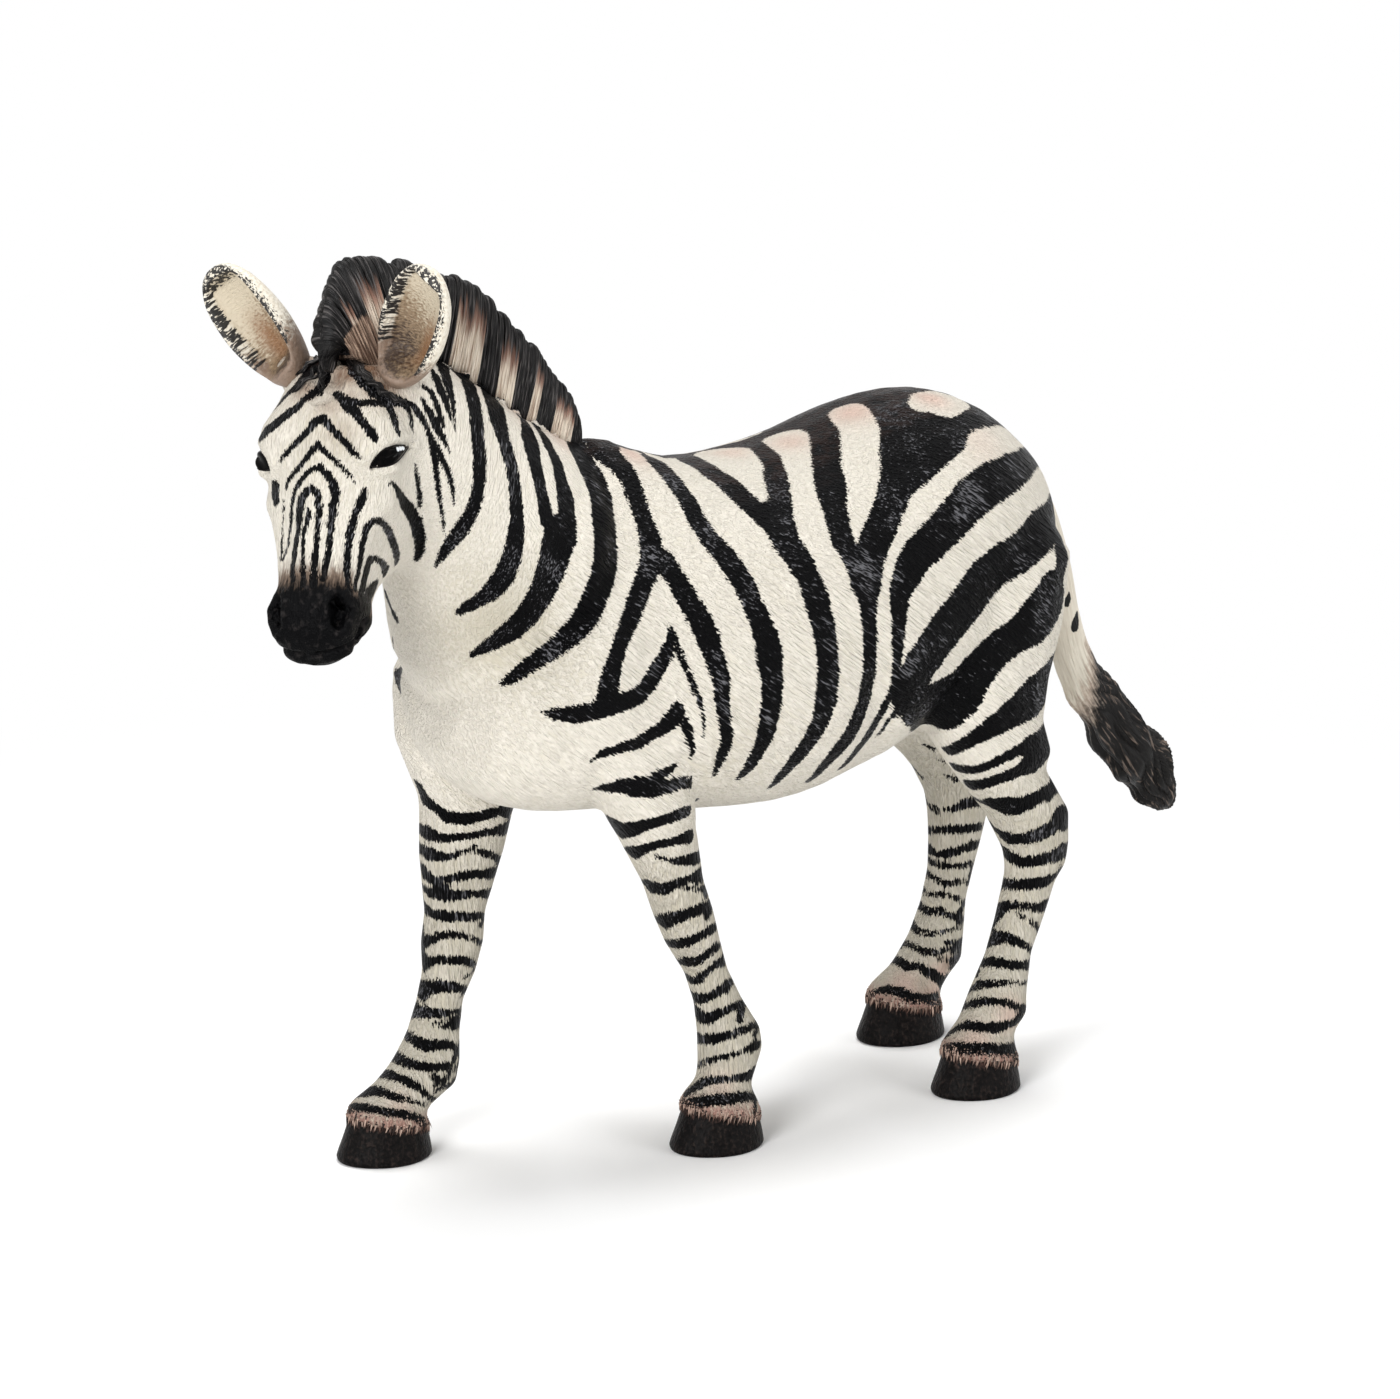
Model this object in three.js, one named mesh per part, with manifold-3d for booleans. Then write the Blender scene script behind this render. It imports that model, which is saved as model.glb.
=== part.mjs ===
// A toy zebra walking with its head turned to its left, about 1:18, in millimetres.
// +Z is up, the zebra faces -X and its left flank faces -Y. The four soles stand on z = 0.
// Each solid piece is lofted from rings, and the pieces seat on round spigots, in sockets
// and in a groove along the crest of the neck.
import * as THREE from 'three';
import { mergeVertices } from 'three/addons/utils/BufferGeometryUtils.js';
import Module from 'manifold-3d';

const wasm = await Module();
wasm.setup();

// Body
const WITHERS_HEIGHT = 71;
const BODY_LENGTH = 74;
const BODY_DEPTH = 39;
const BARREL_WIDTH = 31;

// Neck: the axis starts inside the shoulders and rises forward
const NECK_LENGTH = 34;
const NECK_DEPTH = 23;
const NECK_WIDTH = 20;
const NECK_RISE_DEGREES = 45.5;
const NECK_PARTING_DEGREES = 39;

// Head: measured from the poll down the face
const HEAD_LENGTH = 28;
const HEAD_DEPTH = 15.5;
const HEAD_WIDTH = 13.4;
const HEAD_TURN_DEGREES = 30;
const HEAD_SLOPE_DEGREES = 34;
const HEAD_ROLL_DEGREES = 7.5;
const EYE_LENGTH = 3.6;
const EYE_HEIGHT = 2.6;
const EYE_BULGE = 1.6;
const NOSTRIL_LENGTH = 2.4;
const NOSTRIL_WIDTH = 1.5;
const NOSTRIL_DEPTH = 1.2;
const MOUTH_OPENING = 0.5;
const MOUTH_LENGTH = 6.5;

// Ears
const EAR_LENGTH = 14.8;
const EAR_WIDTH = 7.2;
const EAR_THICKNESS = 4.2;
const EAR_WALL = 0.8;
const EAR_ROOT = 2.2;

// Mane
const MANE_HEIGHT = 8.6;
const MANE_THICKNESS = 3.6;
const MANE_SEAT_DEPTH = 1.4;
const MANE_LOCK_SPACING = 2.3;
const MANE_NOTCH = 0.5;

// Tail
const TAIL_DROP = 38.5;
const TAIL_REACH = 21;
const TAIL_DOCK_THICKNESS = 2.8;
const TAIL_TUFT_THICKNESS = 5;
const TAIL_ROOT = 3.2;
const TAIL_LOCK_DEPTH = 0.35;
const TAIL_LOCKS = 5;

// Legs: length is fore and aft, width is across
const FRONT_LEG = {
  height: 60,
  stance: 8.7,
  shoulder: { length: 17, width: 9.4 },
  forearm: { length: 10.4, width: 8.3 },
  knee: { length: 6.2, width: 5.6 },
  cannon: { length: 5, width: 3.9 },
  fetlock: { length: 7.3, width: 5.7 },
  pastern: { length: 6.2, width: 5.2 },
  hoof: { length: 9.6, width: 8.4, height: 4.9 },
};
const HIND_LEG = {
  height: 66,
  stance: 9,
  thigh: { length: 20, width: 12.4 },
  gaskin: { length: 9.8, width: 6.6 },
  hock: { length: 7.4, width: 5 },
  cannon: { length: 5.3, width: 4.1 },
  fetlock: { length: 6.7, width: 5.4 },
  pastern: { length: 5.9, width: 4.8 },
  hoof: { length: 9.4, width: 8.2, height: 4.9 },
};

// How square the rings are: 2 is an ellipse
const NECK_CREST_POWER = 1.75;
const NECK_THROAT_POWER = 2.2;
const FACE_POWER = 2.3;
const MANE_CREST_POWER = 1.7;
const MANE_SEAT_POWER = 3;
const LEG_POWER = 2.1;
const HOOF_POWER = 2.2;
const ROUND_POWER = 2;

// Fits between the pieces
const SEAT_GAP = 0.3;
const LEG_SPIGOT_DIAMETER = 3.6;
const LEG_SPIGOT_LENGTH = 4;
const NECK_SPIGOT_DIAMETER = 7;
const NECK_SPIGOT_LENGTH = 6;
const HEAD_SPIGOT_DIAMETER = 4.4;
const HEAD_SPIGOT_LENGTH = 5;
const CUT_OVERRUN = 20;

// Shares of the body length where things join it, counted from the chest
const SHOULDER_SHARE = 0.203;
const HIP_SHARE = 0.851;
const CHEST_SHARE = 0.365;

const CHEST_X = -CHEST_SHARE * BODY_LENGTH;
const SHOULDER_X = CHEST_X + SHOULDER_SHARE * BODY_LENGTH;
const HIP_X = CHEST_X + HIP_SHARE * BODY_LENGTH;

// Rings of the barrel, from the chest to the rump.
// along: of BODY_LENGTH. back, widest, belly: of BODY_DEPTH, down from the withers.
// width: of BARREL_WIDTH. crest and keel: how square the upper and lower halves are.
const BODY_RING_SHARES = [
  { along: 0.004, back: 0.52, widest: 0.61, belly: 0.71, width: 0.27, crest: 2, keel: 2 },
  { along: 0.03, back: 0.36, widest: 0.58, belly: 0.8, width: 0.52, crest: 2.1, keel: 2.2 },
  { along: 0.09, back: 0.26, widest: 0.6, belly: 0.88, width: 0.7, crest: 2, keel: 2.2 },
  { along: 0.17, back: 0.105, widest: 0.59, belly: 0.918, width: 0.8, crest: 1.8, keel: 2.2 },
  { along: 0.25, back: 0.005, widest: 0.59, belly: 0.935, width: 0.85, crest: 1.75, keel: 2.2 },
  { along: 0.32, back: 0.05, widest: 0.59, belly: 0.962, width: 0.92, crest: 1.9, keel: 2.15 },
  { along: 0.4, back: 0.098, widest: 0.59, belly: 0.985, width: 0.975, crest: 2.1, keel: 2.1 },
  { along: 0.49, back: 0.107, widest: 0.59, belly: 1, width: 1, crest: 2.2, keel: 2.1 },
  { along: 0.57, back: 0.092, widest: 0.58, belly: 0.987, width: 0.99, crest: 2.2, keel: 2.1 },
  { along: 0.65, back: 0.058, widest: 0.56, belly: 0.95, width: 0.965, crest: 2.2, keel: 2.1 },
  { along: 0.73, back: 0.028, widest: 0.53, belly: 0.885, width: 0.92, crest: 2.2, keel: 2.1 },
  { along: 0.81, back: 0.033, widest: 0.49, belly: 0.81, width: 0.85, crest: 2.15, keel: 2 },
  { along: 0.88, back: 0.088, widest: 0.46, belly: 0.73, width: 0.73, crest: 2.1, keel: 2 },
  { along: 0.935, back: 0.17, widest: 0.43, belly: 0.66, width: 0.57, crest: 2, keel: 2 },
  { along: 0.97, back: 0.24, widest: 0.42, belly: 0.57, width: 0.38, crest: 2, keel: 2 },
  { along: 0.985, back: 0.31, widest: 0.42, belly: 0.5, width: 0.18, crest: 2, keel: 2 },
];

// Rings of the neck. along: of NECK_LENGTH. crest and throat: of NECK_DEPTH from the axis.
// width: of NECK_WIDTH.
const NECK_RING_SHARES = [
  { along: -0.24, crest: 0.5, throat: 0.5, width: 0.86 },
  { along: 0, crest: 0.55, throat: 0.67, width: 1.06 },
  { along: 0.147, crest: 0.54, throat: 0.635, width: 1 },
  { along: 0.294, crest: 0.485, throat: 0.48, width: 0.9 },
  { along: 0.47, crest: 0.435, throat: 0.3, width: 0.78 },
  { along: 0.65, crest: 0.4, throat: 0.21, width: 0.69 },
  { along: 0.8, crest: 0.31, throat: 0.17, width: 0.6 },
  { along: 0.89, crest: 0.15, throat: 0.12, width: 0.42 },
  { along: 0.94, crest: 0.03, throat: 0.06, width: 0.18 },
];
const NECK_ORIGIN_SHARES = { along: 0.162, drop: 0.333 };

// Rings of the head. along: of HEAD_LENGTH. face, widest, jaw: of HEAD_DEPTH, out of the face.
// width: of HEAD_WIDTH. jowl: how square the lower half is.
const HEAD_RING_SHARES = [
  { along: -0.12, face: -0.33, widest: -0.48, jaw: -0.62, width: 0.4, jowl: 2 },
  { along: -0.07, face: -0.18, widest: -0.44, jaw: -0.72, width: 0.66, jowl: 2 },
  { along: 0, face: -0.05, widest: -0.36, jaw: -0.8, width: 0.82, jowl: 2.2 },
  { along: 0.1, face: 0.04, widest: -0.3, jaw: -0.84, width: 0.9, jowl: 2.4 },
  { along: 0.21, face: 0.07, widest: -0.27, jaw: -0.97, width: 1.04, jowl: 2.7 },
  { along: 0.33, face: 0.065, widest: -0.26, jaw: -1.05, width: 1.01, jowl: 3 },
  { along: 0.45, face: 0.03, widest: -0.3, jaw: -1.05, width: 0.87, jowl: 3.1 },
  { along: 0.56, face: 0, widest: -0.32, jaw: -0.95, width: 0.73, jowl: 2.8 },
  { along: 0.66, face: -0.026, widest: -0.33, jaw: -0.78, width: 0.63, jowl: 2.4 },
  { along: 0.76, face: -0.04, widest: -0.32, jaw: -0.67, width: 0.62, jowl: 2.2 },
  { along: 0.85, face: -0.045, widest: -0.29, jaw: -0.6, width: 0.75, jowl: 2.1 },
  { along: 0.93, face: -0.09, widest: -0.3, jaw: -0.53, width: 0.64, jowl: 2.1 },
  { along: 0.98, face: -0.17, widest: -0.31, jaw: -0.45, width: 0.41, jowl: 2 },
  { along: 1, face: -0.24, widest: -0.31, jaw: -0.38, width: 0.22, jowl: 2 },
];

// Rings down each leg. up and reach: of the leg's height, reach counted forward from its
// joint. full: of the named part's length and width. stance: of the leg's stance.
// pitch: how far the ring's front edge rises, as a share of its length.
const RIGHT_FRONT_SHARES = [
  { part: 'shoulder', up: 1, reach: -0.02, full: 0.6, stance: 0.7, pitch: 0 },
  { part: 'shoulder', up: 0.9, reach: 0.03, full: 0.92, stance: 0.93, pitch: 0 },
  { part: 'shoulder', up: 0.8, reach: 0.07, full: 1, stance: 1, pitch: 0 },
  { part: 'shoulder', up: 0.69, reach: 0.083, full: 0.86, stance: 1.03, pitch: 0 },
  { part: 'forearm', up: 0.585, reach: 0.068, full: 1.02, stance: 1.04, pitch: 0 },
  { part: 'forearm', up: 0.487, reach: 0.085, full: 0.84, stance: 1.03, pitch: 0 },
  { part: 'knee', up: 0.39, reach: 0.1, full: 0.98, stance: 1.02, pitch: 0 },
  { part: 'knee', up: 0.338, reach: 0.106, full: 1, stance: 1.02, pitch: 0 },
  { part: 'knee', up: 0.29, reach: 0.113, full: 0.86, stance: 1.02, pitch: 0 },
  { part: 'cannon', up: 0.242, reach: 0.132, full: 0.98, stance: 1.02, pitch: 0 },
  { part: 'cannon', up: 0.193, reach: 0.145, full: 1.1, stance: 1.02, pitch: 0 },
  { part: 'fetlock', up: 0.147, reach: 0.158, full: 0.93, stance: 1.02, pitch: 0.15 },
  { part: 'fetlock', up: 0.122, reach: 0.17, full: 0.98, stance: 1.02, pitch: 0.3 },
  { part: 'pastern', up: 0.1, reach: 0.203, full: 1, stance: 1.02, pitch: 0.4 },
];
const LEFT_FRONT_SHARES = [
  { part: 'shoulder', up: 1, reach: -0.03, full: 0.6, stance: 0.7, pitch: 0 },
  { part: 'shoulder', up: 0.9, reach: 0.01, full: 0.92, stance: 0.93, pitch: 0 },
  { part: 'shoulder', up: 0.8, reach: 0.005, full: 1, stance: 0.98, pitch: 0 },
  { part: 'shoulder', up: 0.71, reach: -0.03, full: 0.82, stance: 0.97, pitch: 0 },
  { part: 'forearm', up: 0.628, reach: -0.067, full: 1.02, stance: 0.96, pitch: 0 },
  { part: 'forearm', up: 0.565, reach: -0.09, full: 0.82, stance: 0.95, pitch: 0 },
  { part: 'knee', up: 0.467, reach: -0.127, full: 0.98, stance: 0.94, pitch: 0 },
  { part: 'knee', up: 0.41, reach: -0.148, full: 0.97, stance: 0.94, pitch: 0 },
  { part: 'knee', up: 0.358, reach: -0.168, full: 0.88, stance: 0.93, pitch: 0 },
  { part: 'cannon', up: 0.302, reach: -0.196, full: 0.9, stance: 0.92, pitch: 0 },
  { part: 'cannon', up: 0.247, reach: -0.221, full: 1, stance: 0.91, pitch: 0 },
  { part: 'fetlock', up: 0.192, reach: -0.243, full: 0.9, stance: 0.91, pitch: 0 },
  { part: 'fetlock', up: 0.165, reach: -0.246, full: 0.93, stance: 0.91, pitch: 0.1 },
  { part: 'pastern', up: 0.13, reach: -0.239, full: 0.95, stance: 0.91, pitch: 0.2 },
  { part: 'pastern', up: 0.105, reach: -0.232, full: 0.92, stance: 0.91, pitch: 0.2 },
];
const LEFT_HIND_SHARES = [
  { part: 'thigh', up: 0.98, reach: 0.04, full: 0.3, stance: 0.4, pitch: 0 },
  { part: 'thigh', up: 0.91, reach: 0.025, full: 0.7, stance: 0.62, pitch: 0 },
  { part: 'thigh', up: 0.81, reach: 0.018, full: 0.95, stance: 0.82, pitch: 0 },
  { part: 'thigh', up: 0.71, reach: 0.037, full: 0.93, stance: 0.9, pitch: 0 },
  { part: 'thigh', up: 0.63, reach: 0.05, full: 0.82, stance: 0.96, pitch: 0 },
  { part: 'thigh', up: 0.565, reach: 0.04, full: 0.66, stance: 1.02, pitch: 0 },
  { part: 'gaskin', up: 0.515, reach: 0.014, full: 1.2, stance: 1.02, pitch: 0 },
  { part: 'gaskin', up: 0.483, reach: 0.005, full: 1, stance: 1.02, pitch: 0 },
  { part: 'gaskin', up: 0.42, reach: -0.041, full: 0.97, stance: 1.02, pitch: 0.1 },
  { part: 'hock', up: 0.362, reach: -0.06, full: 1, stance: 1.02, pitch: 0 },
  { part: 'hock', up: 0.332, reach: -0.06, full: 0.92, stance: 1.02, pitch: 0 },
  { part: 'hock', up: 0.306, reach: -0.048, full: 0.8, stance: 1.02, pitch: 0 },
  { part: 'cannon', up: 0.255, reach: -0.029, full: 1, stance: 1.03, pitch: 0 },
  { part: 'cannon', up: 0.202, reach: -0.008, full: 0.94, stance: 1.03, pitch: 0 },
  { part: 'fetlock', up: 0.148, reach: 0.011, full: 0.9, stance: 1.04, pitch: 0.1 },
  { part: 'fetlock', up: 0.122, reach: 0.017, full: 0.98, stance: 1.05, pitch: 0.25 },
  { part: 'pastern', up: 0.097, reach: 0.036, full: 1, stance: 1.06, pitch: 0.35 },
];
const RIGHT_HIND_SHARES = [
  { part: 'thigh', up: 0.98, reach: 0.035, full: 0.3, stance: 0.4, pitch: 0 },
  { part: 'thigh', up: 0.91, reach: 0.02, full: 0.7, stance: 0.62, pitch: 0 },
  { part: 'thigh', up: 0.81, reach: 0.012, full: 0.95, stance: 0.82, pitch: 0 },
  { part: 'thigh', up: 0.71, reach: 0.022, full: 0.98, stance: 0.89, pitch: 0 },
  { part: 'thigh', up: 0.63, reach: 0.015, full: 0.92, stance: 0.94, pitch: 0 },
  { part: 'thigh', up: 0.565, reach: 0, full: 0.78, stance: 0.96, pitch: 0 },
  { part: 'gaskin', up: 0.52, reach: -0.038, full: 1.32, stance: 0.96, pitch: 0 },
  { part: 'gaskin', up: 0.477, reach: -0.073, full: 1.08, stance: 0.96, pitch: 0 },
  { part: 'gaskin', up: 0.424, reach: -0.109, full: 0.92, stance: 0.96, pitch: 0.1 },
  { part: 'hock', up: 0.379, reach: -0.126, full: 1.02, stance: 0.96, pitch: 0 },
  { part: 'hock', up: 0.342, reach: -0.127, full: 0.93, stance: 0.96, pitch: 0 },
  { part: 'hock', up: 0.3, reach: -0.122, full: 0.82, stance: 0.96, pitch: 0 },
  { part: 'cannon', up: 0.255, reach: -0.114, full: 0.96, stance: 0.96, pitch: 0 },
  { part: 'cannon', up: 0.205, reach: -0.1, full: 0.93, stance: 0.96, pitch: 0 },
  { part: 'fetlock', up: 0.15, reach: -0.086, full: 0.88, stance: 0.96, pitch: 0.1 },
  { part: 'fetlock', up: 0.122, reach: -0.076, full: 0.98, stance: 0.96, pitch: 0.25 },
  { part: 'pastern', up: 0.097, reach: -0.052, full: 1.02, stance: 0.96, pitch: 0.35 },
];

// Rings of a hoof. up: of the hoof's height. full: of its length and width.
// toe: how far the ring stands forward of the coronet, of the hoof's length.
const HOOF_RING_SHARES = [
  { up: 1, full: 0.76, toe: 0, pitch: 0.2 },
  { up: 0.86, full: 0.83, toe: 0.01, pitch: 0.2 },
  { up: 0.5, full: 0.91, toe: 0.03, pitch: 0.12 },
  { up: 0.1, full: 0.99, toe: 0.06, pitch: 0.02 },
  { up: 0, full: 0.97, toe: 0.06, pitch: 0 },
];

// Rings of an ear, from its root to its tip. width: of EAR_WIDTH. thick: of EAR_THICKNESS.
const EAR_RING_SHARES = [
  { along: 0, width: 0.42, thick: 0.62 },
  { along: 0.12, width: 0.52, thick: 0.78 },
  { along: 0.28, width: 0.78, thick: 1 },
  { along: 0.46, width: 0.98, thick: 1 },
  { along: 0.64, width: 1, thick: 0.88 },
  { along: 0.8, width: 0.84, thick: 0.66 },
  { along: 0.92, width: 0.55, thick: 0.42 },
  { along: 1, width: 0.16, thick: 0.2 },
];
const EAR_HOLLOW_SHARES = { start: 0.2, end: 0.96, forward: 0.5 };
// Each ear's axis and the way its hollow looks, in the head's own directions
const LEFT_EAR_SHARES = {
  side: 1, seatSide: 0.46, up: 0.56, out: 0.79, spread: 0.38,
  lookOut: 1, lookSide: 0.05, lookDown: 0.43,
};
const RIGHT_EAR_SHARES = {
  side: -1, seatSide: 0.34, up: 0.66, out: 0.46, spread: 0.59,
  lookOut: 1, lookSide: -0.1, lookDown: 0.42,
};
const EAR_SEAT_SHARES = { along: 0.005, face: -0.19 };

// Mane along the neck: height of MANE_HEIGHT and forward lean of its strands
const NECK_MANE_SHARES = [
  { along: 0.15, height: 0.05, lean: -0.1, thick: 0.5 },
  { along: 0.23, height: 0.38, lean: 0, thick: 0.8 },
  { along: 0.34, height: 0.57, lean: 0.05, thick: 0.95 },
  { along: 0.47, height: 0.7, lean: 0.05, thick: 1 },
  { along: 0.62, height: 0.78, lean: 0.1, thick: 1 },
  { along: 0.76, height: 0.92, lean: 0.1, thick: 1 },
  { along: 0.87, height: 1.1, lean: 0.12, thick: 1 },
];
// Mane over the head: along the face from the poll, with the way its strands point
const HEAD_MANE_SHARES = [
  { along: -0.05, height: 0.98, up: 0.96, out: 0.28, thick: 1 },
  { along: 0, height: 0.54, up: 0.86, out: 0.5, thick: 1 },
  { along: 0.05, height: 0.46, up: 0.45, out: 0.9, thick: 0.95 },
  { along: 0.11, height: 0.33, up: 0.1, out: 1, thick: 0.85 },
  { along: 0.17, height: 0.12, up: -0.1, out: 1, thick: 0.6 },
];

// Tail path. drop: of TAIL_DROP down from its root. reach: of TAIL_REACH behind it.
const TAIL_RING_SHARES = [
  { drop: 0.03, reach: 0.03, dock: 1.15, tuft: 0 },
  { drop: 0.12, reach: 0.15, dock: 1.1, tuft: 0 },
  { drop: 0.27, reach: 0.25, dock: 1, tuft: 0 },
  { drop: 0.42, reach: 0.29, dock: 0.92, tuft: 0 },
  { drop: 0.53, reach: 0.36, dock: 0.92, tuft: 0.06 },
  { drop: 0.62, reach: 0.46, dock: 0.5, tuft: 0.5 },
  { drop: 0.73, reach: 0.61, dock: 0, tuft: 0.9 },
  { drop: 0.83, reach: 0.76, dock: 0, tuft: 1 },
  { drop: 0.915, reach: 0.88, dock: 0, tuft: 0.86 },
  { drop: 0.98, reach: 0.95, dock: 0, tuft: 0.5 },
  { drop: 1, reach: 0.98, dock: 0, tuft: 0.2 },
];
const TAIL_SEAT_SHARES = { along: 0.965, drop: 0.29 };

// Faceting
const BODY_SIDES = 32;
const NECK_SIDES = 28;
const HEAD_SIDES = 28;
const LEG_SIDES = 18;
const EAR_SIDES = 14;
const MANE_SIDES = 12;
const TAIL_SIDES = 15;
const PIN_SIDES = 16;
const EYE_SIDES = 16;
const NOSTRIL_SIDES = 8;
const FINE_STEPS = 2;

const UP = new THREE.Vector3(0, 0, 1);
const FORWARD = new THREE.Vector3(-1, 0, 0);
const LEFT = new THREE.Vector3(0, -1, 0);

function radians(degrees) {
  return THREE.MathUtils.degToRad(degrees);
}

function sumOf(...terms) {
  const total = new THREE.Vector3();
  for (const [direction, length] of terms) {
    total.addScaledVector(direction, length);
  }
  return total;
}

// Two square directions, both turned from the first towards the second
function turned(first, second, degrees) {
  const cosine = Math.cos(radians(degrees));
  const sine = Math.sin(radians(degrees));
  return [sumOf([first, cosine], [second, sine]), sumOf([second, cosine], [first, -sine])];
}

// Solids from geometry, and geometry from solids
function solidOf(geometry) {
  const bare = geometry.clone();
  bare.deleteAttribute('normal');
  bare.deleteAttribute('uv');
  const merged = mergeVertices(bare);
  return new wasm.Manifold(new wasm.Mesh({
    numProp: 3,
    vertProperties: new Float32Array(merged.attributes.position.array),
    triVerts: new Uint32Array(merged.index.array),
  }));
}

function geometryOf(solid) {
  const mesh = solid.getMesh();
  const geometry = new THREE.BufferGeometry();
  geometry.setAttribute('position', new THREE.BufferAttribute(mesh.vertProperties, mesh.numProp));
  geometry.setIndex(new THREE.BufferAttribute(mesh.triVerts, 1));
  geometry.computeVertexNormals();
  return geometry;
}

// Values between two knots of a row of numbers, on a smooth curve through them
function slopeAt(values, knots, i) {
  const before = Math.max(i - 1, 0);
  const after = Math.min(i + 1, values.length - 1);
  return (values[after] - values[before]) / (knots[after] - knots[before]);
}

function smoothValue(values, knots, i, share) {
  const span = knots[i + 1] - knots[i];
  const square = share * share;
  const cube = square * share;
  const rise = 3 * square - 2 * cube;
  const leave = (cube - 2 * square + share) * span * slopeAt(values, knots, i);
  const arrive = (cube - square) * span * slopeAt(values, knots, i + 1);
  return values[i] * (1 - rise) + values[i + 1] * rise + leave + arrive;
}

const RING_VECTORS = ['centre', 'tall', 'across'];
const RING_NUMBERS = ['rise', 'drop', 'half', 'upper', 'lower'];

// More rings between the given ones, so that the loft is smooth lengthwise
function refined(rings, steps) {
  const knots = [0];
  for (let i = 1; i < rings.length; i += 1) {
    knots.push(knots[i - 1] + rings[i].centre.distanceTo(rings[i - 1].centre));
  }
  const result = [];
  for (let i = 0; i < rings.length - 1; i += 1) {
    for (let step = 0; step < steps; step += 1) {
      const share = step / steps;
      const ring = {};
      for (const name of RING_VECTORS) {
        const parts = ['x', 'y', 'z'].map(
          (axis) => smoothValue(rings.map((r) => r[name][axis]), knots, i, share));
        ring[name] = new THREE.Vector3(...parts);
      }
      for (const name of RING_NUMBERS) {
        ring[name] = smoothValue(rings.map((r) => r[name]), knots, i, share);
      }
      result.push(ring);
    }
  }
  result.push(rings[rings.length - 1]);
  return result;
}

// The points of one ring: two half superellipses that meet at its widest line.
// lobes, where given, swells the ring into locks of hair.
function ringPoints(ring, sides, grow, lobes) {
  const points = [];
  for (let i = 0; i < sides; i += 1) {
    const angle = (i / sides) * Math.PI * 2;
    const tallShare = Math.cos(angle);
    const acrossShare = Math.sin(angle);
    const isUpper = tallShare >= 0;
    const power = 2 / (isUpper ? ring.upper : ring.lower);
    const reach = (isUpper ? ring.rise : ring.drop) + grow;
    const swell = lobes ? lobes(ring, angle) : 0;
    const half = ring.half + grow;
    const tall = Math.sign(tallShare) * Math.abs(tallShare) ** power * (reach + swell);
    const across = Math.sign(acrossShare) * Math.abs(acrossShare) ** power * (half + swell);
    points.push(sumOf([ring.centre, 1], [ring.tall, tall], [ring.across, across]));
  }
  return points;
}

// A closed solid through rings. grow makes it larger all round, as a cutter for its seat.
function loft(rings, sides, { steps = FINE_STEPS, grow = 0, lobes = null } = {}) {
  const fine = refined(rings, steps);
  const positions = [];
  const indices = [];
  for (const ring of fine) {
    for (const point of ringPoints(ring, sides, grow, lobes)) {
      positions.push(point.x, point.y, point.z);
    }
  }
  for (let r = 0; r < fine.length - 1; r += 1) {
    for (let i = 0; i < sides; i += 1) {
      const next = (i + 1) % sides;
      const a = r * sides + i;
      const b = r * sides + next;
      indices.push(a, b, a + sides, b, b + sides, a + sides);
    }
  }
  const first = positions.length / 3;
  const ends = [fine[0], fine[fine.length - 1]];
  ends.forEach((ring, end) => {
    const other = end === 0 ? fine[1] : fine[fine.length - 2];
    const outward = ring.centre.clone().sub(other.centre).normalize();
    const tip = ring.centre.clone().addScaledVector(outward, grow);
    positions.push(tip.x, tip.y, tip.z);
  });
  const start = (fine.length - 1) * sides;
  for (let i = 0; i < sides; i += 1) {
    const next = (i + 1) % sides;
    indices.push(first, next, i);
    indices.push(first + 1, start + i, start + next);
  }
  return closedSolid(positions, indices);
}

// Turns the faces outwards whichever way the rings ran
function closedSolid(positions, indices) {
  const corner = (i) => new THREE.Vector3().fromArray(positions, indices[i] * 3);
  let volume = 0;
  for (let i = 0; i < indices.length; i += 3) {
    volume += corner(i).dot(corner(i + 1).cross(corner(i + 2)));
  }
  if (volume < 0) {
    indices.reverse();
  }
  const geometry = new THREE.BufferGeometry();
  geometry.setAttribute('position', new THREE.Float32BufferAttribute(positions, 3));
  geometry.setIndex(indices);
  return solidOf(geometry);
}

// A cylinder between two places
function pin(from, to, diameter) {
  const along = to.clone().sub(from);
  const geometry = new THREE.CylinderGeometry(diameter / 2, diameter / 2, along.length(), PIN_SIDES);
  geometry.applyQuaternion(new THREE.Quaternion().setFromUnitVectors(
    new THREE.Vector3(0, 1, 0), along.clone().normalize()));
  const middle = from.clone().add(to).divideScalar(2);
  geometry.translate(middle.x, middle.y, middle.z);
  return solidOf(geometry);
}

// A rounded lump with its three diameters along three directions
function lump(centre, directions, diameters, sides) {
  const geometry = new THREE.SphereGeometry(1, sides, sides / 2);
  const basis = new THREE.Matrix4().makeBasis(
    directions[0].clone().multiplyScalar(diameters[0] / 2),
    directions[1].clone().multiplyScalar(diameters[1] / 2),
    directions[2].clone().multiplyScalar(diameters[2] / 2));
  geometry.applyMatrix4(basis);
  if (basis.determinant() < 0) {
    geometry.index.array.reverse();
  }
  geometry.translate(centre.x, centre.y, centre.z);
  return solidOf(geometry);
}

// Everything on the outward side of a plane, as a block large enough for the figure
const BLOCK = 2 * (BODY_LENGTH + WITHERS_HEIGHT) + CUT_OVERRUN;
function blockBeyond(point, outward) {
  const geometry = new THREE.BoxGeometry(BLOCK, BLOCK, BLOCK);
  geometry.applyQuaternion(new THREE.Quaternion().setFromUnitVectors(UP, outward));
  const centre = point.clone().addScaledVector(outward, BLOCK / 2);
  geometry.translate(centre.x, centre.y, centre.z);
  return solidOf(geometry);
}

// Barrel, chest and rump
function bodyPlace(alongShare, dropShare) {
  const x = CHEST_X + alongShare * BODY_LENGTH;
  const z = WITHERS_HEIGHT - dropShare * BODY_DEPTH;
  return new THREE.Vector3(x, 0, z);
}

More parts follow.
